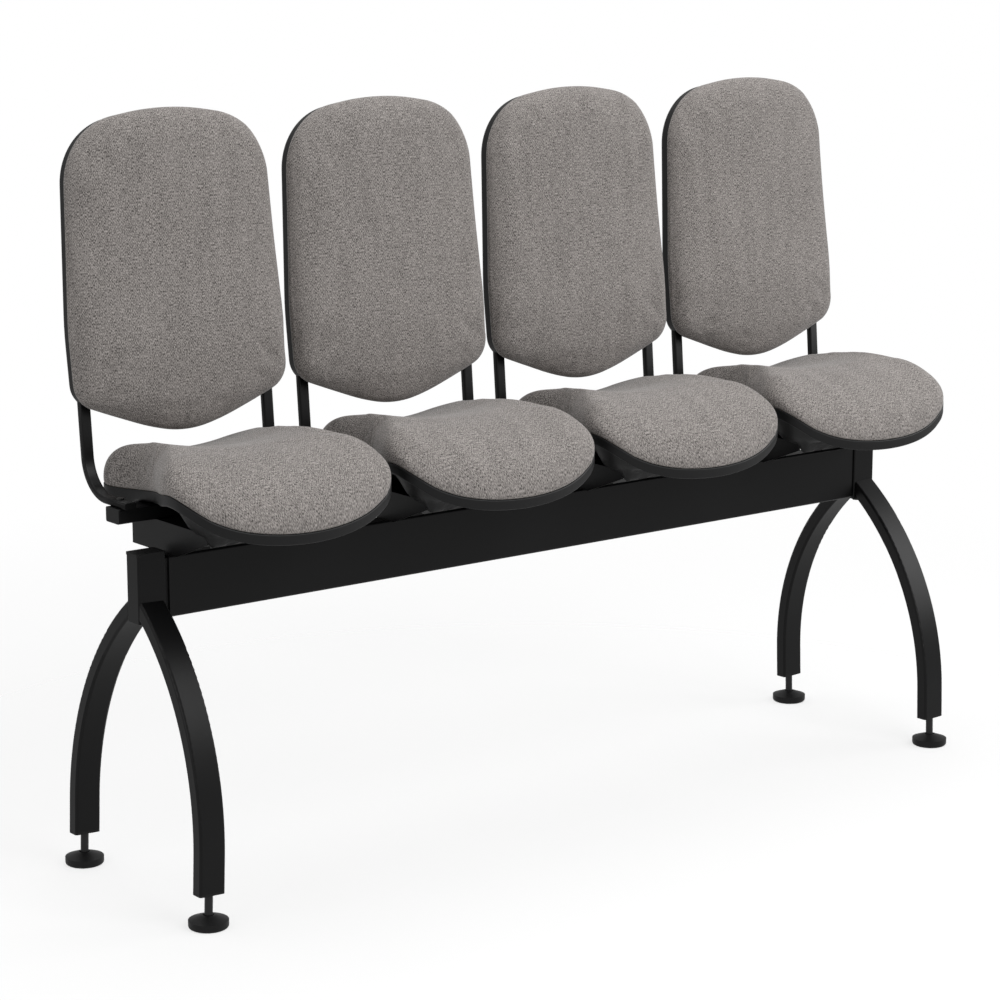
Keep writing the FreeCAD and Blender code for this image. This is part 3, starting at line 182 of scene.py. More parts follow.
def outline_points(half_corners, arc_steps=24):
    """Closed outline in millimetres: each corner of a mirrored polygon is rounded by an
    arc tangent to its two sides, whose centre lies radius / cos(half the turn) away. The
    straight runs between arcs are then divided evenly."""
    half = np.array(half_corners, float)
    left = half[::-1][half[::-1][:, 0] > 0.0] * (-1.0, 1.0, 1.0)
    corners = np.vstack((half, left))
    here = corners[:, :2]
    back = np.roll(here, 1, axis=0) - here
    ahead = np.roll(here, -1, axis=0) - here
    back /= np.linalg.norm(back, axis=1)[:, None]
    ahead /= np.linalg.norm(ahead, axis=1)[:, None]
    half_turn = (math.pi - np.arccos(np.clip((back * ahead).sum(1), -1.0, 1.0))) / 2.0
    inward = back + ahead
    inward /= np.linalg.norm(inward, axis=1)[:, None]
    centres = here + inward * (corners[:, 2] / np.cos(half_turn))[:, None]
    sweep = np.linspace(-1.0, 1.0, arc_steps)[None, :] * half_turn[:, None]
    side = np.stack((-inward[:, 1], inward[:, 0]), 1)
    turn_way = np.sign(np.einsum("ij,ij->i", ahead, side))
    spokes = (-inward[:, None, :] * np.cos(sweep)[:, :, None]
              + (side * turn_way[:, None])[:, None, :] * np.sin(sweep)[:, :, None])
    loop = (centres[:, None, :] + spokes * corners[:, 2][:, None, None]).reshape(-1, 2)
    shares = np.linspace(0.0, 1.0, RUN_STEPS, endpoint=False)[None, :, None]
    following = np.roll(loop, -1, axis=0)
    return (loop[:, None, :] * (1.0 - shares) + following[:, None, :] * shares).reshape(-1, 2)


def ray_lengths(outline, middle, angles):
    """Distance from a middle point to the outline along each angle."""
    arms = outline - np.array(middle)
    arm_angles = np.arctan2(arms[:, 1], arms[:, 0])
    order = np.argsort(arm_angles)
    lengths = np.linalg.norm(arms, axis=1)[order]
    return np.interp(angles, arm_angles[order], lengths, period=2.0 * math.pi)


def disc_grid(count):
    """Square grid bent to a disc: the ring is the larger coordinate, and the smaller one
    over it gives the angle inside each quarter."""
    line = np.linspace(-1.0, 1.0, count)
    across, along = np.meshgrid(line, line, indexing="ij")
    ring = np.maximum(np.abs(across), np.abs(along))
    quarter = math.pi / 4.0
    with np.errstate(divide="ignore", invalid="ignore"):
        wide = np.abs(across) >= np.abs(along)
        angle = np.where(wide, quarter * along / across, math.pi / 2.0 - quarter * across / along)
    angle = np.where(np.where(wide, across, along) < 0.0, angle + math.pi, angle)
    return ring, np.nan_to_num(angle)


def closed_pad(name, top, under, weave_top, weave_under):
    """Mesh of two equal grids, the upper and the lower side of a pad, joined round the edge.
    Each side has the cover's own flat coordinates in metres."""
    count = top.shape[0]
    index = np.arange(count * count).reshape(count, count)
    quads = np.stack((index[:-1, :-1], index[1:, :-1], index[1:, 1:], index[:-1, 1:]), -1)
    quads = quads.reshape(-1, 4)
    edge = np.concatenate((index[:-1, 0], index[-1, :-1], index[:0:-1, -1], index[0, :0:-1]))
    lower = count * count
    wall = np.stack((edge, edge + lower, np.roll(edge, -1) + lower, np.roll(edge, -1)), -1)
    faces = np.vstack((quads, quads[:, ::-1] + lower, wall))
    points = np.vstack((top.reshape(-1, 3), under.reshape(-1, 3)))
    mesh = bpy.data.meshes.new(name)
    mesh.from_pydata(points, [], faces.tolist())
    flat = np.vstack((weave_top.reshape(-1, 2), weave_under.reshape(-1, 2)))
    layer = mesh.uv_layers.new(name="weave")
    corners = np.empty(len(mesh.loops), np.int32)
    mesh.loops.foreach_get("vertex_index", corners)
    layer.data.foreach_set("uv", flat[corners].astype(np.float32).ravel())
    mesh.polygons.foreach_set("use_smooth", np.ones(len(mesh.polygons), bool))
    mesh.update()
    piece = bpy.data.objects.new(name, mesh)
    bpy.context.scene.collection.objects.link(piece)
    return piece


def rim_heights(y):
    """Height of the black rim in millimetres: seen from the side it is a chain of arcs
    through the stations, each of which sets out in the direction in which the last ends."""
    heading = RIM_HEADING
    backs, heights = [], []
    for (rear, start), (front, end) in zip(RIM_STATIONS, RIM_STATIONS[1:]):
        bend = math.atan2(end - start, rear - front) - heading
        radius = math.hypot(rear - front, end - start) / (2.0 * math.sin(bend))
        way = heading + 2.0 * bend * np.linspace(0.0, 1.0, RIM_ARC_STEPS)
        backs.append(rear + radius * (math.sin(heading) - np.sin(way)))
        heights.append(start + radius * (math.cos(heading) - np.cos(way)))
        heading += 2.0 * bend
    return np.interp(y, np.concatenate(backs)[::-1], np.concatenate(heights)[::-1])


WALL = 3.0
BAND_RINGS = np.array([0.0, 1.0, 2.0, 3.0, 4.0, 5.0, 6.0, 9.0, 16.0, 24.0])
BAND_INSET = np.array([0.0, 0.0, 0.0, 0.5, 1.8, 4.5, 9.0, 20.0, 48.0, 80.0])
BAND_DROP = np.array([0.0, 1.0, 12.0, 14.2, 15.6, 16.2, 16.6, 17.0, 17.0, 17.0])
HEEL_Y = [62.0, 92.0]
HEEL_DROP = [0.0, 10.0]
BELLY_Y = [63.0, 75.0]
BELLY = [552.0, 548.0]
SLOPE_START = 9.0
SLOPE_STEPS = 12.0
LIP = 534.5
LIP_BOX = (-115.0, 115.0, -134.0, -100.0)
BAR_SEAT = 571.4
TUBE_BEDS = [(-300.0, 300.0, 17.0, 63.0), (-100.0, 100.0, -113.0, -67.0)]
BRACKET_BED = (-116.0, 116.0, -120.0, 96.0)
SHEET_SEAT = 550.5


def bed(x, y, box, soft=9.0):
    """1 inside a rectangle in plan and 0 outside it, with soft sides."""
    west, east, south, north = box
    inside = np.minimum(np.minimum(x - west, east - x), np.minimum(y - south, north - y))
    share = np.clip(inside / soft + 0.5, 0.0, 1.0)
    return share * share * (3.0 - 2.0 * share)


def pan_points():
    """Inner and outer grids of a seat pan. Ring by ring from the rim inwards the outer side
    follows the band, turns under it and slopes to the belly, which rises in beds over the
    tubes and the bracket and hangs as a lip before the bracket's open end; the inner side
    lies one wall inside."""
    ring, angle = disc_grid(GRID)
    reach = ray_lengths(outline_points(SEAT_CORNERS), SEAT_MIDDLE, angle)
    way = np.stack((np.cos(angle), np.sin(angle)), -1)
    steps = (1.0 - ring) * HALF_GRID
    bent = BAND_RINGS[-1]
    grids = []
    for wall in (WALL, 0.0):
        inset = np.interp(steps, BAND_RINGS, BAND_INSET) + wall
        inner = ring / (1.0 - bent / HALF_GRID)
        floor_reach = (reach - BAND_INSET[-1] - wall) * inner
        out = np.where(steps <= bent, reach - inset, floor_reach)
        flat = np.array(SEAT_MIDDLE) + way * out[..., None]
        x, y = flat[..., 0], flat[..., 1]
        heel = np.interp(y, HEEL_Y, HEEL_DROP) * np.clip(steps - 1.0, 0.0, 1.0)
        band = rim_heights(y) - np.interp(steps, BAND_RINGS, BAND_DROP) - heel
        belly = np.interp(y, BELLY_Y, BELLY)
        belly = belly + (LIP - belly) * bed(x, y, LIP_BOX)
        belly = belly + (SHEET_SEAT - belly) * bed(x, y, BRACKET_BED)
        for box in TUBE_BEDS:
            belly = belly + (BAR_SEAT - belly) * bed(x, y, box)
        share = np.clip((steps - SLOPE_START) / SLOPE_STEPS, 0.0, 1.0)
        share = share * share * (3.0 - 2.0 * share)
        height = band + (np.minimum(belly, band) - band) * share
        lift = wall * np.clip((steps - 1.0) / 2.0, 0.0, 1.0)
        grids.append(np.concatenate((flat, (height + lift)[..., None]), -1))
    return grids[0], grids[1], way * out[..., None] * MM


pan_inner, pan_outer, pan_flat = pan_points()
for place in PLACES:
    shift = np.array(((place - MIDDLE_PLACE) * PITCH, BEAM_LINE, 0.0))
    pan = closed_pad("seat_pan_%d" % place, (pan_inner + shift) * MM, (pan_outer + shift) * MM,
                     pan_flat, pan_flat)
    pan.data.materials.append(shell_plastic)
    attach(pan, "bench")
    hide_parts("seat_shell_%d" % place)

# Seat cushions.
# Moulded foam under one piece of taupe woven cover, stapled under the board. The
# foam swells over the black rim, hollows at the waist and rises under the thighs.
# The weave's sizes and COVER_MOST are in metres, all other lengths in millimetres.
WEAVE_LIGHT = (0.395, 0.365, 0.346, 1.0)
WEAVE_DARK = (0.048, 0.043, 0.040, 1.0)
WARP_PITCH = 0.0038
WEFT_PITCH = 0.0052
WANDER = 9.0
BUMP_STRENGTH = 0.2
BUMP_HEIGHT = 0.0009
TOP_Y = [-248.0, -215.0, -160.0, -100.0, -40.0, 20.0, 75.0, 120.0, 166.0]
TOP_Z = [574.3, 608.0, 637.8, 660.0, 655.4, 642.4, 634.0, 625.0, 623.5]
DISH_Y = [-200.0, -80.0, 30.0, 130.0]
DISH_RISE = [-2.2, 7.6, 36.8, 29.1]
DISH_HALF = 150.0
EDGE_Y = [-248.0, -180.0, -100.0, 0.0, 90.0, 166.0]
EDGE_ROUND = [55.0, 58.3, 48.4, 14.5, 24.0, 52.0]
LIFT_Y = [-248.0, -100.0, 166.0]
LIFT = [4.4, 10.4, 9.4]
SEAT_TURN = 0.62
SKIRT_INSET = 0.4
SKIRT_GAP = 0.2
WALL_SHARE = 0.6
SEAT_WEAVE_STEP = 1.7
SMOOTH_WINDOW = 22.0
SMOOTH_SHIFTS = 7
COVER_FRAMES = 20
COVER_PRESSURE = 2.0
COVER_MOST = 0.002


def smooth_between(value, places, heights):
    """Smooth curve through given heights: straight interpolation, averaged over a short
    window on both sides."""
    shifts = np.linspace(-SMOOTH_WINDOW, SMOOTH_WINDOW, SMOOTH_SHIFTS)
    return np.mean([np.interp(value + shift, places, heights) for shift in shifts], axis=0)


def puffed(piece, held):
    """Blow the pad up a little as cloth, holding the vertices marked in held, and return the
    new points; no point moves further than COVER_MOST metres."""
    group = piece.vertex_groups.new(name="held")
    group.add([int(vertex) for vertex in np.flatnonzero(held)], 1.0, "REPLACE")
    cloth = piece.modifiers.new("cover", "CLOTH")
    cloth.settings.quality = 6
    cloth.settings.mass = 0.3
    cloth.settings.tension_stiffness = 22.0
    cloth.settings.compression_stiffness = 22.0
    cloth.settings.bending_stiffness = 2.0
    cloth.settings.use_pressure = True
    cloth.settings.uniform_pressure_force = COVER_PRESSURE
    cloth.settings.vertex_group_mass = "held"
    cloth.settings.effector_weights.gravity = 0.0
    cloth.point_cache.frame_start = 1
    cloth.point_cache.frame_end = COVER_FRAMES
    scene = bpy.context.scene
    for step in range(1, COVER_FRAMES + 1):
        scene.frame_set(step)
    graph = bpy.context.evaluated_depsgraph_get()
    made = piece.evaluated_get(graph).to_mesh()
    moved = np.empty(len(made.vertices) * 3)
    made.vertices.foreach_get("co", moved)
    piece.evaluated_get(graph).to_mesh_clear()
    piece.modifiers.clear()
    piece.vertex_groups.clear()
    scene.frame_set(1)
    rest = np.empty(len(piece.data.vertices) * 3)
    piece.data.vertices.foreach_get("co", rest)
    rest = rest.reshape(-1, 3)
    shift = moved.reshape(-1, 3) - rest
    length = np.linalg.norm(shift, axis=1)
    return rest + shift * np.minimum(1.0, COVER_MOST / np.maximum(length, 1e-9))[:, None]


def woven_cover(name):
    """Mélange plain weave: the product of two sine waves, one along each thread direction,
    makes the crossings, noise cells as wide as a thread give each thread its own shade, and
    a slow mottle lies under both; the same sum is the bump."""
    material = bpy.data.materials.new(name)
    material.use_nodes = True
    tree = material.node_tree
    shader = tree.nodes["Principled BSDF"]
    shader.inputs["Roughness"].default_value = 0.92
    shader.inputs["Specular IOR Level"].default_value = 0.15
    shader.inputs["Sheen Weight"].default_value = 0.22
    shader.inputs["Sheen Roughness"].default_value = 0.4
    flat = tree.nodes.new("ShaderNodeUVMap")
    flat.uv_map = "weave"

    def noise(scale_x, scale_y, detail):
        """Noise stretched along one thread direction."""
        stretch = tree.nodes.new("ShaderNodeMapping")
        stretch.inputs["Scale"].default_value = (scale_x, scale_y, 1.0)
        tree.links.new(flat.outputs["UV"], stretch.inputs["Vector"])
        texture = tree.nodes.new("ShaderNodeTexNoise")
        texture.inputs["Scale"].default_value = 1.0
        texture.inputs["Detail"].default_value = detail
        tree.links.new(stretch.outputs["Vector"], texture.inputs["Vector"])
        return texture.outputs["Fac"]

    def join(kind, first, second=0.0):
        """Arithmetic on two sockets, or on a socket and a number."""
        step = tree.nodes.new("ShaderNodeMath")
        step.operation = kind
        for slot, value in enumerate((first, second)):
            if isinstance(value, float):
                step.inputs[slot].default_value = value
            else:
                tree.links.new(value, step.inputs[slot])
        return step.outputs["Value"]

    def wave(axis, pitch, wander):
        """Sine along one thread direction, its phase carried off by a slow noise."""
        split = tree.nodes.new("ShaderNodeSeparateXYZ")
        tree.links.new(flat.outputs["UV"], split.inputs["Vector"])
        phase = join("MULTIPLY", split.outputs[axis], 2.0 * math.pi / pitch)
        return join("SINE", join("ADD", phase, join("MULTIPLY", wander, WANDER)))

    crossing = join("MULTIPLY", wave("X", WARP_PITCH, noise(60.0, 25.0, 1.0)),
                    wave("Y", WEFT_PITCH, noise(25.0, 60.0, 1.0)))
    # Each layer's pattern and its weight. A noise is given by its cells per metre across
    # and along, and by its detail.
    layers = ((crossing, 0.10), (noise(1000.0, 345.0, 0.5), 1.7), (noise(110.0, 430.0, 1.0), 0.45),
              (noise(430.0, 70.0, 1.0), 0.45), (noise(1500.0, 1500.0, 1.0), 0.30),
              (noise(40.0, 9.0, 2.0), 0.22))
    shade = join("MULTIPLY", layers[0][0], layers[0][1])
    for layer, weight in layers[1:]:
        shade = join("ADD", shade, join("MULTIPLY", join("SUBTRACT", layer, 0.5), weight))
    shade = join("ADD", shade, 0.5)
    ramp = tree.nodes.new("ShaderNodeValToRGB")
    ramp.color_ramp.elements[0].position = 0.1
    ramp.color_ramp.elements[0].color = WEAVE_DARK
    ramp.color_ramp.elements[1].position = 0.9
    ramp.color_ramp.elements[1].color = WEAVE_LIGHT
    tree.links.new(shade, ramp.inputs["Fac"])
    tree.links.new(ramp.outputs["Color"], shader.inputs["Base Color"])
    bump = tree.nodes.new("ShaderNodeBump")
    bump.inputs["Strength"].default_value = BUMP_STRENGTH
    bump.inputs["Distance"].default_value = BUMP_HEIGHT
    tree.links.new(shade, bump.inputs["Height"])
    tree.links.new(bump.outputs["Normal"], shader.inputs["Normal"])
    return material


cover = woven_cover("taupe_melange")


def seat_points():
    """Upper and lower grids of a seat cushion, and the cover's flat coordinates. On each ray
    from the middle the top runs to the start of the edge, then falls along a quarter of an
    ellipse to the widest line; the lower side lies on the rim. The flat coordinates follow
    the length of cover from the middle, over the edge and under."""
    ring, angle = disc_grid(GRID)
    reach = ray_lengths(outline_points(SEAT_CORNERS), SEAT_MIDDLE, angle)
    way = np.stack((np.cos(angle), np.sin(angle)), -1)
    edge_y = SEAT_MIDDLE[1] + way[..., 1] * reach
    curl = np.interp(edge_y, EDGE_Y, EDGE_ROUND)
    inner = np.clip(ring / SEAT_TURN, 0.0, 1.0)
    quarter = np.clip((ring - SEAT_TURN) / (1.0 - SEAT_TURN), 0.0, 1.0) * math.pi / 2.0
    out = (reach - curl) * inner + curl * np.sin(quarter)
    flat = np.array(SEAT_MIDDLE) + way * out[..., None]
    dish = np.interp(flat[..., 1], DISH_Y, DISH_RISE) * (flat[..., 0] / DISH_HALF) ** 2
    crown = smooth_between(flat[..., 1], TOP_Y, TOP_Z) + dish
    base = rim_heights(edge_y) + np.interp(edge_y, LIFT_Y, LIFT)
    height = base + (crown - base) * np.cos(quarter)
    top = np.concatenate((flat, height[..., None]), -1)
    tuck = np.array(SEAT_MIDDLE) + way * ((reach - SKIRT_INSET) * ring)[..., None]
    seat = rim_heights(tuck[..., 1]) + SKIRT_GAP
    under = np.concatenate((tuck, seat[..., None]), -1)
    stretch = out + (1.0 - np.cos(quarter)) * (crown - base) * WALL_SHARE
    wall_low = np.interp(edge_y, LIFT_Y, LIFT) + (1.0 - ring) * reach
    edge_x = SEAT_MIDDLE[0] + way[..., 0] * reach
    edge_crown = (smooth_between(edge_y, TOP_Y, TOP_Z)
                  + np.interp(edge_y, DISH_Y, DISH_RISE) * (edge_x / DISH_HALF) ** 2)
    round_edge = reach + (edge_crown - base) * WALL_SHARE
    weave_under = way * (round_edge + wall_low)[..., None] * MM
    return top, under, way * stretch[..., None] * MM, weave_under


def finish_cushion(piece, body_node):
    """Subdivide and cover one cushion, attach it to the bench and hide the node it replaces."""
    soften = piece.modifiers.new("soften", "SUBSURF")
    soften.levels = 1
    soften.render_levels = 1
    piece.data.materials.append(cover)
    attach(piece, "bench")
    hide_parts(body_node)


seat_top, seat_under, seat_weave, seat_weave_under = seat_points()
pattern = closed_pad("seat_pattern", seat_top * MM, seat_under * MM, seat_weave, seat_weave_under)
seat_shape = np.vstack((seat_top.reshape(-1, 3), seat_under.reshape(-1, 3))) * MM
below = np.zeros(len(seat_shape), bool)
below[GRID * GRID:] = True
seat_shape = puffed(pattern, below)
bpy.data.objects.remove(pattern)
for place in PLACES:
    middle = (place - MIDDLE_PLACE) * PITCH * MM
    points = seat_shape + np.array((middle, BEAM_LINE * MM, 0.0))
    cushion = closed_pad("seat_cover_%d" % place, points[:GRID * GRID].reshape(GRID, GRID, 3),
                         points[GRID * GRID:].reshape(GRID, GRID, 3),
                         seat_weave + place * SEAT_WEAVE_STEP,
                         seat_weave_under + place * SEAT_WEAVE_STEP)
    finish_cushion(cushion, "seat_cushion_%d" % place)

# Back cushions.
# The same cover over moulded foam: rounded at the top, drawn to a blunt point below,
# with a swell for the lower back and edges that roll back to the shell. Lengths are in
# millimetres, and where the weave starts is in metres.
BACK_CORNERS = [(0.0, 256.0, 404.0), (168.0, 230.0, 100.0), (182.0, -60.0, 600.0),
                (179.0, -166.0, 40.0), (63.0, -209.5, 380.0), (0.0, -225.0, 160.0)]
BACK_MIDDLE = (0.0, 0.0)
LEAN = math.radians(4.8)
BACK_ORIGIN = np.array((0.0, BEAM_LINE + 133.0, 875.0))
SWELL_UP = [-225.0, -170.0, -100.0, -30.0, 60.0, 160.0, 256.0]
SWELL = [24.0, 32.0, 37.5, 32.5, 27.0, 26.0, 22.0]
BACK_REAR = -6.8
BACK_WIDEST = 0.0
BACK_CURL = 28.0
BACK_TURN = 0.74
SIDE_FALL = 13.0
BACK_HALF = 182.0
EDGE_WALL = 20.0
BACK_WEAVE_START = 0.37
BACK_WEAVE_STEP = 2.3


def back_points():
    """Front and rear grids of a back cushion in the leaning plane, across, up and out. The
    front is a crown that falls with the square of the way across, and it turns back along a
    quarter of an ellipse to the widest line. The cover's flat coordinates follow its length
    from the middle, over the edge and behind."""
    ring, angle = disc_grid(GRID)
    reach = ray_lengths(outline_points(BACK_CORNERS), BACK_MIDDLE, angle)
    way = np.stack((np.cos(angle), np.sin(angle)), -1)
    inner = np.clip(ring / BACK_TURN, 0.0, 1.0)
    quarter = np.clip((ring - BACK_TURN) / (1.0 - BACK_TURN), 0.0, 1.0) * math.pi / 2.0
    out = (reach - BACK_CURL) * inner + BACK_CURL * np.sin(quarter)
    flat = np.array(BACK_MIDDLE) + way * out[..., None]
    side_fall = SIDE_FALL * (flat[..., 0] / BACK_HALF) ** 2
    crown = smooth_between(flat[..., 1], SWELL_UP, SWELL) - side_fall
    height = BACK_WIDEST + (crown - BACK_WIDEST) * np.cos(quarter)
    front = np.concatenate((flat, height[..., None]), -1)
    tuck = np.array(BACK_MIDDLE) + way * ((reach - SKIRT_INSET) * ring)[..., None]
    rear = np.concatenate((tuck, np.full(ring.shape + (1,), BACK_REAR)), -1)
    stretch = out + (1.0 - np.cos(quarter)) * EDGE_WALL
    wall_low = BACK_WIDEST - BACK_REAR + (1.0 - ring) * reach
    weave_rear = way * (reach + EDGE_WALL + wall_low)[..., None] * MM
    return front, rear, way * stretch[..., None] * MM, weave_rear


def leaned(local):
    """Points given across, up the plane and out to the front, turned into the bench's frame."""
    across, rise, out = local[..., 0], local[..., 1], local[..., 2]
    return np.stack((across, rise * math.sin(LEAN) - out * math.cos(LEAN),
                     rise * math.cos(LEAN) + out * math.sin(LEAN)), -1) + BACK_ORIGIN


back_front, back_rear, back_weave, back_weave_under = back_points()
back_front = leaned(back_front) * MM
back_rear = leaned(back_rear) * MM
pattern = closed_pad("back_pattern", back_front, back_rear, back_weave, back_weave_under)
back_shape = np.vstack((back_front.reshape(-1, 3), back_rear.reshape(-1, 3)))
below = np.zeros(len(back_shape), bool)
below[GRID * GRID:] = True
back_shape = puffed(pattern, below)
bpy.data.objects.remove(pattern)
for place in PLACES:
    middle = (place - MIDDLE_PLACE) * PITCH * MM
    weave_shift = BACK_WEAVE_START + place * BACK_WEAVE_STEP
    points = back_shape + np.array((middle, 0.0, 0.0))
    cushion = closed_pad("back_cover_%d" % place, points[:GRID * GRID].reshape(GRID, GRID, 3),
                         points[GRID * GRID:].reshape(GRID, GRID, 3),
                         back_weave + weave_shift, back_weave_under + weave_shift)
    finish_cushion(cushion, "back_cushion_%d" % place)

# Uprights.
# Flat steel tube bent once: a short arm welded to the rear cross tube, then up behind
# the back into its shell; the same powder coat as the beam. Lengths in millimetres.
TUBE_WIDE = 18.0
TUBE_DEEP = 10.0
TUBE_CORNER = 3.0
TUBE_FLAT_EDGE = 0.5
TUBE_RUN_EDGE = 2.0
TUBE_BEND = 60.0
TUBE_APART = 157.0
TUBE_BEHIND = 18.3
ARM_START = 12.0
ARM_HEIGHT = 576.0
TUBE_TOP = 110.0
TUBE_CORNER_POINTS = 6
TUBE_BEND_STATIONS = 22


def tube_section():
    """Rounded rectangle across and through the tube, anticlockwise, with a point just past
    each end of every corner so that the flats stay flat when shaded."""
    points = []
    for quarter, (side, face) in enumerate(((1, 1), (-1, 1), (-1, -1), (1, -1))):
        middle = np.array((side * (TUBE_WIDE / 2.0 - TUBE_CORNER),
                           face * (TUBE_DEEP / 2.0 - TUBE_CORNER)))
        turn = math.pi / 2.0 * (quarter + np.linspace(0.0, 1.0, TUBE_CORNER_POINTS))
        arc = middle + TUBE_CORNER * np.stack((np.cos(turn), np.sin(turn)), 1)
        before = arc[0] + TUBE_FLAT_EDGE * np.array((math.sin(turn[0]), -math.cos(turn[0])))
        after = arc[-1] + TUBE_FLAT_EDGE * np.array((-math.sin(turn[-1]), math.cos(turn[-1])))
        points.extend((before, *arc, after))
    return np.array(points)


def tube_path():
    """Stations along the tube's middle, back and up in millimetres, with the heading at each:
    level arm, arc tangent to both runs, then up in the back's leaning plane."""
    heading_up = math.pi / 2.0 - LEAN
    foot_rise = (ARM_HEIGHT - BACK_ORIGIN[2] + TUBE_BEHIND * math.sin(LEAN)) / math.cos(LEAN)
    along_up = np.array((math.sin(LEAN), math.cos(LEAN)))
    plane = np.array((BACK_ORIGIN[1] + TUBE_BEHIND * math.cos(LEAN),
                      BACK_ORIGIN[2] - TUBE_BEHIND * math.sin(LEAN)))
    corner = plane + foot_rise * along_up
    tangent = TUBE_BEND * math.tan(heading_up / 2.0)
    arm_end = corner - (tangent, 0.0)
    turn = np.linspace(0.0, heading_up, TUBE_BEND_STATIONS)
    arc = arm_end + (0.0, TUBE_BEND) + TUBE_BEND * np.stack((np.sin(turn), -np.cos(turn)), 1)
    stations = np.vstack(((BEAM_LINE + ARM_START, ARM_HEIGHT), arm_end - (TUBE_RUN_EDGE, 0.0), arc,
                          arc[-1] + TUBE_RUN_EDGE * along_up, plane + TUBE_TOP * along_up))
    headings = np.concatenate(((0.0, 0.0), turn, (heading_up, heading_up)))
    return stations, headings


def swept_tube(name, across):
    """Closed mesh of the section carried along the path at one place across the bench."""
    section = tube_section()
    stations, headings = tube_path()
    out_y = stations[:, 0, None] - np.sin(headings)[:, None] * section[None, :, 1]
    out_z = stations[:, 1, None] + np.cos(headings)[:, None] * section[None, :, 1]
    out_x = np.broadcast_to(across + section[None, :, 0], out_y.shape)
    points = np.stack((out_x, out_y, out_z), -1).reshape(-1, 3) * MM
    count = len(section)
    index = np.arange(len(points)).reshape(len(stations), count)
    ahead = np.roll(index, -1, axis=1)
    walls = np.stack((index[:-1], index[1:], ahead[1:], ahead[:-1]), -1).reshape(-1, 4)
    faces = walls.tolist() + [index[0].tolist(), index[-1, ::-1].tolist()]
    mesh = bpy.data.meshes.new(name)
    mesh.from_pydata(points, [], faces)
    smooth = np.ones(len(faces), bool)
    smooth[-2:] = False
    mesh.polygons.foreach_set("use_smooth", smooth)
    mesh.update()
    piece = bpy.data.objects.new(name, mesh)
    bpy.context.scene.collection.objects.link(piece)
    return piece


for place in PLACES:
    for side, sign in (("left", -1.0), ("right", 1.0)):
        across = (place - MIDDLE_PLACE) * PITCH + sign * TUBE_APART
        tube = swept_tube("tube_%s_%d" % (side, place), across)
        tube.data.materials.append(powder_coat)
        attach(tube, "bench")
        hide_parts("upright_%s_%d" % (side, place))

# Floor, light and camera.
# A pale floor that fades into the white background, four large soft lamps, and the
# camera at the photograph's angle.
FLOOR_HALF = 9.0
FLOOR_WHITE = (0.93, 0.93, 0.93, 1.0)
FADE_START = 0.9
FADE_END = 2.6
FADE_LEAST = 0.72
floor_corners = [(side * FLOOR_HALF, way * FLOOR_HALF, 0.0)
                 for side, way in ((-1, -1), (1, -1), (1, 1), (-1, 1))]
floor_mesh = bpy.data.meshes.new("studio_floor")
floor_mesh.from_pydata(floor_corners, [], [(0, 1, 2, 3)])
floor = bpy.data.objects.new("studio_floor", floor_mesh)
bpy.context.scene.collection.objects.link(floor)
paper = bpy.data.materials.new("white_paper")
paper.use_nodes = True
paper_tree = paper.node_tree
paper_shader = paper_tree.nodes["Principled BSDF"]
paper_shader.inputs["Base Color"].default_value = FLOOR_WHITE
paper_shader.inputs["Roughness"].default_value = 0.9
paper_shader.inputs["Specular IOR Level"].default_value = 0.1
paper_clear = paper_tree.nodes.new("ShaderNodeBsdfTransparent")
paper_mix = paper_tree.nodes.new("ShaderNodeMixShader")
paper_place = paper_tree.nodes.new("ShaderNodeTexCoord")
paper_distance = paper_tree.nodes.new("ShaderNodeVectorMath")
paper_distance.operation = "LENGTH"
paper_fade = paper_tree.nodes.new("ShaderNodeMapRange")
paper_fade.interpolation_type = "SMOOTHSTEP"
paper_fade.inputs["From Min"].default_value = FADE_START
paper_fade.inputs["From Max"].default_value = FADE_END
paper_fade.inputs["To Min"].default_value = FADE_LEAST
paper_tree.links.new(paper_place.outputs["Object"], paper_distance.inputs[0])
paper_tree.links.new(paper_distance.outputs["Value"], paper_fade.inputs["Value"])
paper_tree.links.new(paper_fade.outputs["Result"], paper_mix.inputs["Fac"])
paper_tree.links.new(paper_shader.outputs["BSDF"], paper_mix.inputs[1])
paper_tree.links.new(paper_clear.outputs["BSDF"], paper_mix.inputs[2])
paper_surface = paper_tree.nodes["Material Output"].inputs["Surface"]
paper_tree.links.new(paper_mix.outputs["Shader"], paper_surface)
floor_mesh.materials.append(paper)

PURE_WHITE = (1.0, 1.0, 1.0, 1.0)
SKY_LIGHT = 0.45
world = bpy.data.worlds.new("studio")
bpy.context.scene.world = world
world.use_nodes = True
sky_tree = world.node_tree
sky = sky_tree.nodes["Background"]
sky.inputs["Color"].default_value = PURE_WHITE
sky.inputs["Strength"].default_value = SKY_LIGHT
seen = sky_tree.nodes.new("ShaderNodeBackground")
seen.inputs["Color"].default_value = PURE_WHITE
seen.inputs["Strength"].default_value = 1.0
rays = sky_tree.nodes.new("ShaderNodeLightPath")
either = sky_tree.nodes.new("ShaderNodeMath")
either.operation = "MAXIMUM"
choose = sky_tree.nodes.new("ShaderNodeMixShader")
sky_tree.links.new(rays.outputs["Is Camera Ray"], either.inputs[0])
sky_tree.links.new(rays.outputs["Is Transmission Ray"], either.inputs[1])
sky_tree.links.new(either.outputs["Value"], choose.inputs["Fac"])
sky_tree.links.new(sky.outputs["Background"], choose.inputs[1])
sky_tree.links.new(seen.outputs["Background"], choose.inputs[2])
sky_tree.links.new(choose.outputs["Shader"], sky_tree.nodes["World Output"].inputs["Surface"])


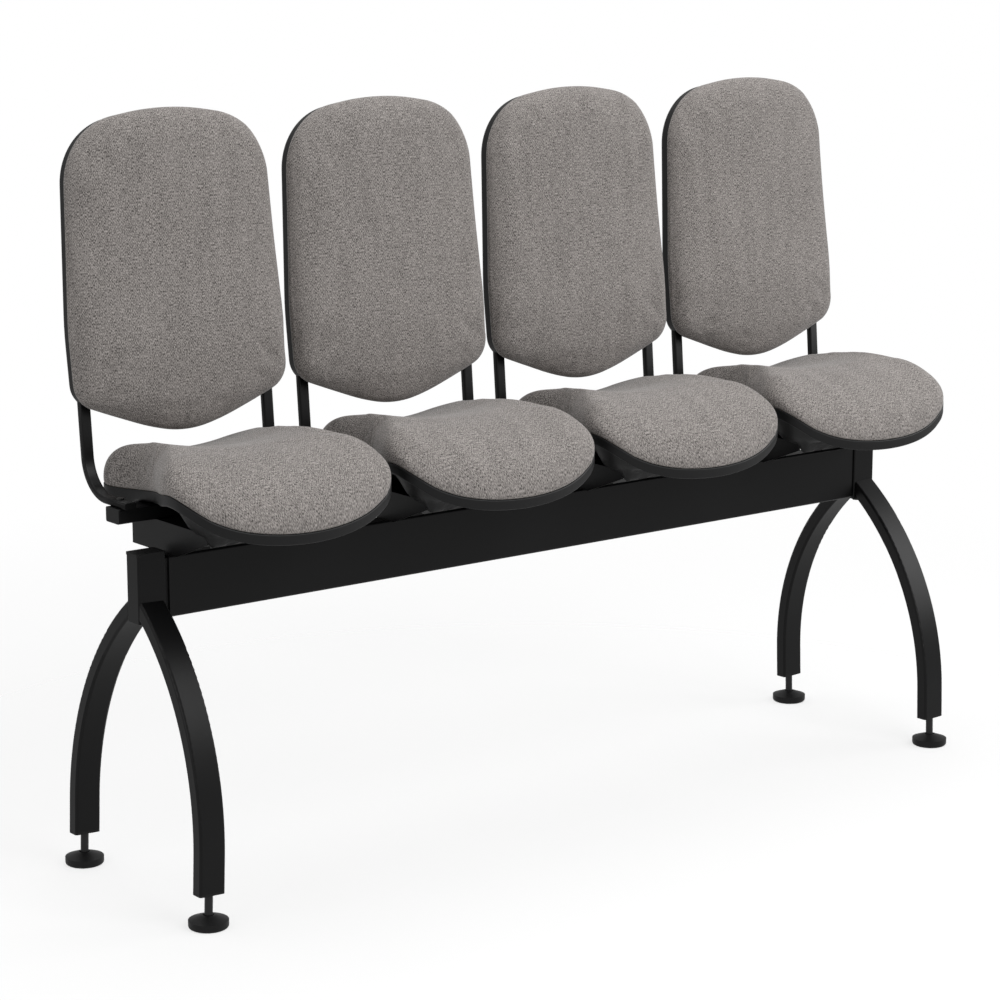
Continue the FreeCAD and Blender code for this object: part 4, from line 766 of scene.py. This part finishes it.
def soft_lamp(name, location, target, side, power):
    """Square area lamp that faces a target."""
    lamp = bpy.data.lights.new(name, "AREA")
    lamp.shape = "SQUARE"
    lamp.size = side
    lamp.energy = power
    holder = bpy.data.objects.new(name, lamp)
    holder.location = location
    holder.rotation_mode = "QUATERNION"
    holder.rotation_quaternion = (Vector(target) - Vector(location)).to_track_quat("-Z", "Y")
    bpy.context.scene.collection.objects.link(holder)


soft_lamp("key", location=(0.4, -3.0, 3.2), target=(0.0, 0.0, 0.7),
          side=2.4, power=72.0)
soft_lamp("fill", location=(3.2, -1.6, 1.8), target=(0.4, 0.0, 0.8),
          side=2.0, power=50.0)
soft_lamp("side", location=(-3.2, -0.4, 1.5), target=(-0.4, 0.0, 0.6),
          side=1.6, power=13.0)
soft_lamp("overhead", location=(0.0, 0.6, 3.8), target=(0.0, 0.1, 0.5),
          side=3.0, power=58.0)

AZIMUTH = math.radians(-37.92)
ELEVATION = math.radians(11.87)
DISTANCE = 4.609
SHIFT_RIGHT = -0.056
SHIFT_UP = 0.483
FOCAL_PIXELS = 2859.0
PICTURE_PIXELS = 1000.0
SENSOR = 36.0
NEAREST = 0.05
FURTHEST = 60.0
back_way = Vector((math.sin(AZIMUTH) * math.cos(ELEVATION),
                   -math.cos(AZIMUTH) * math.cos(ELEVATION),
                   math.sin(ELEVATION)))
right_way = Vector((math.cos(AZIMUTH), math.sin(AZIMUTH), 0.0))
up_way = back_way.cross(right_way)
lens = bpy.data.cameras.new("camera")
lens.sensor_width = SENSOR
lens.lens = FOCAL_PIXELS / PICTURE_PIXELS * SENSOR
lens.clip_start = NEAREST
lens.clip_end = FURTHEST
camera = bpy.data.objects.new("camera", lens)
bpy.context.scene.collection.objects.link(camera)
beam_middle = Vector((0.0, BEAM_LINE * MM, 0.0))
stand = back_way * DISTANCE + right_way * SHIFT_RIGHT + up_way * SHIFT_UP + beam_middle
turn = Matrix((right_way, up_way, back_way)).transposed()
camera.matrix_world = Matrix.Translation(stand) @ turn.to_4x4()
bpy.context.scene.camera = camera
bpy.context.scene.view_settings.view_transform = "Standard"
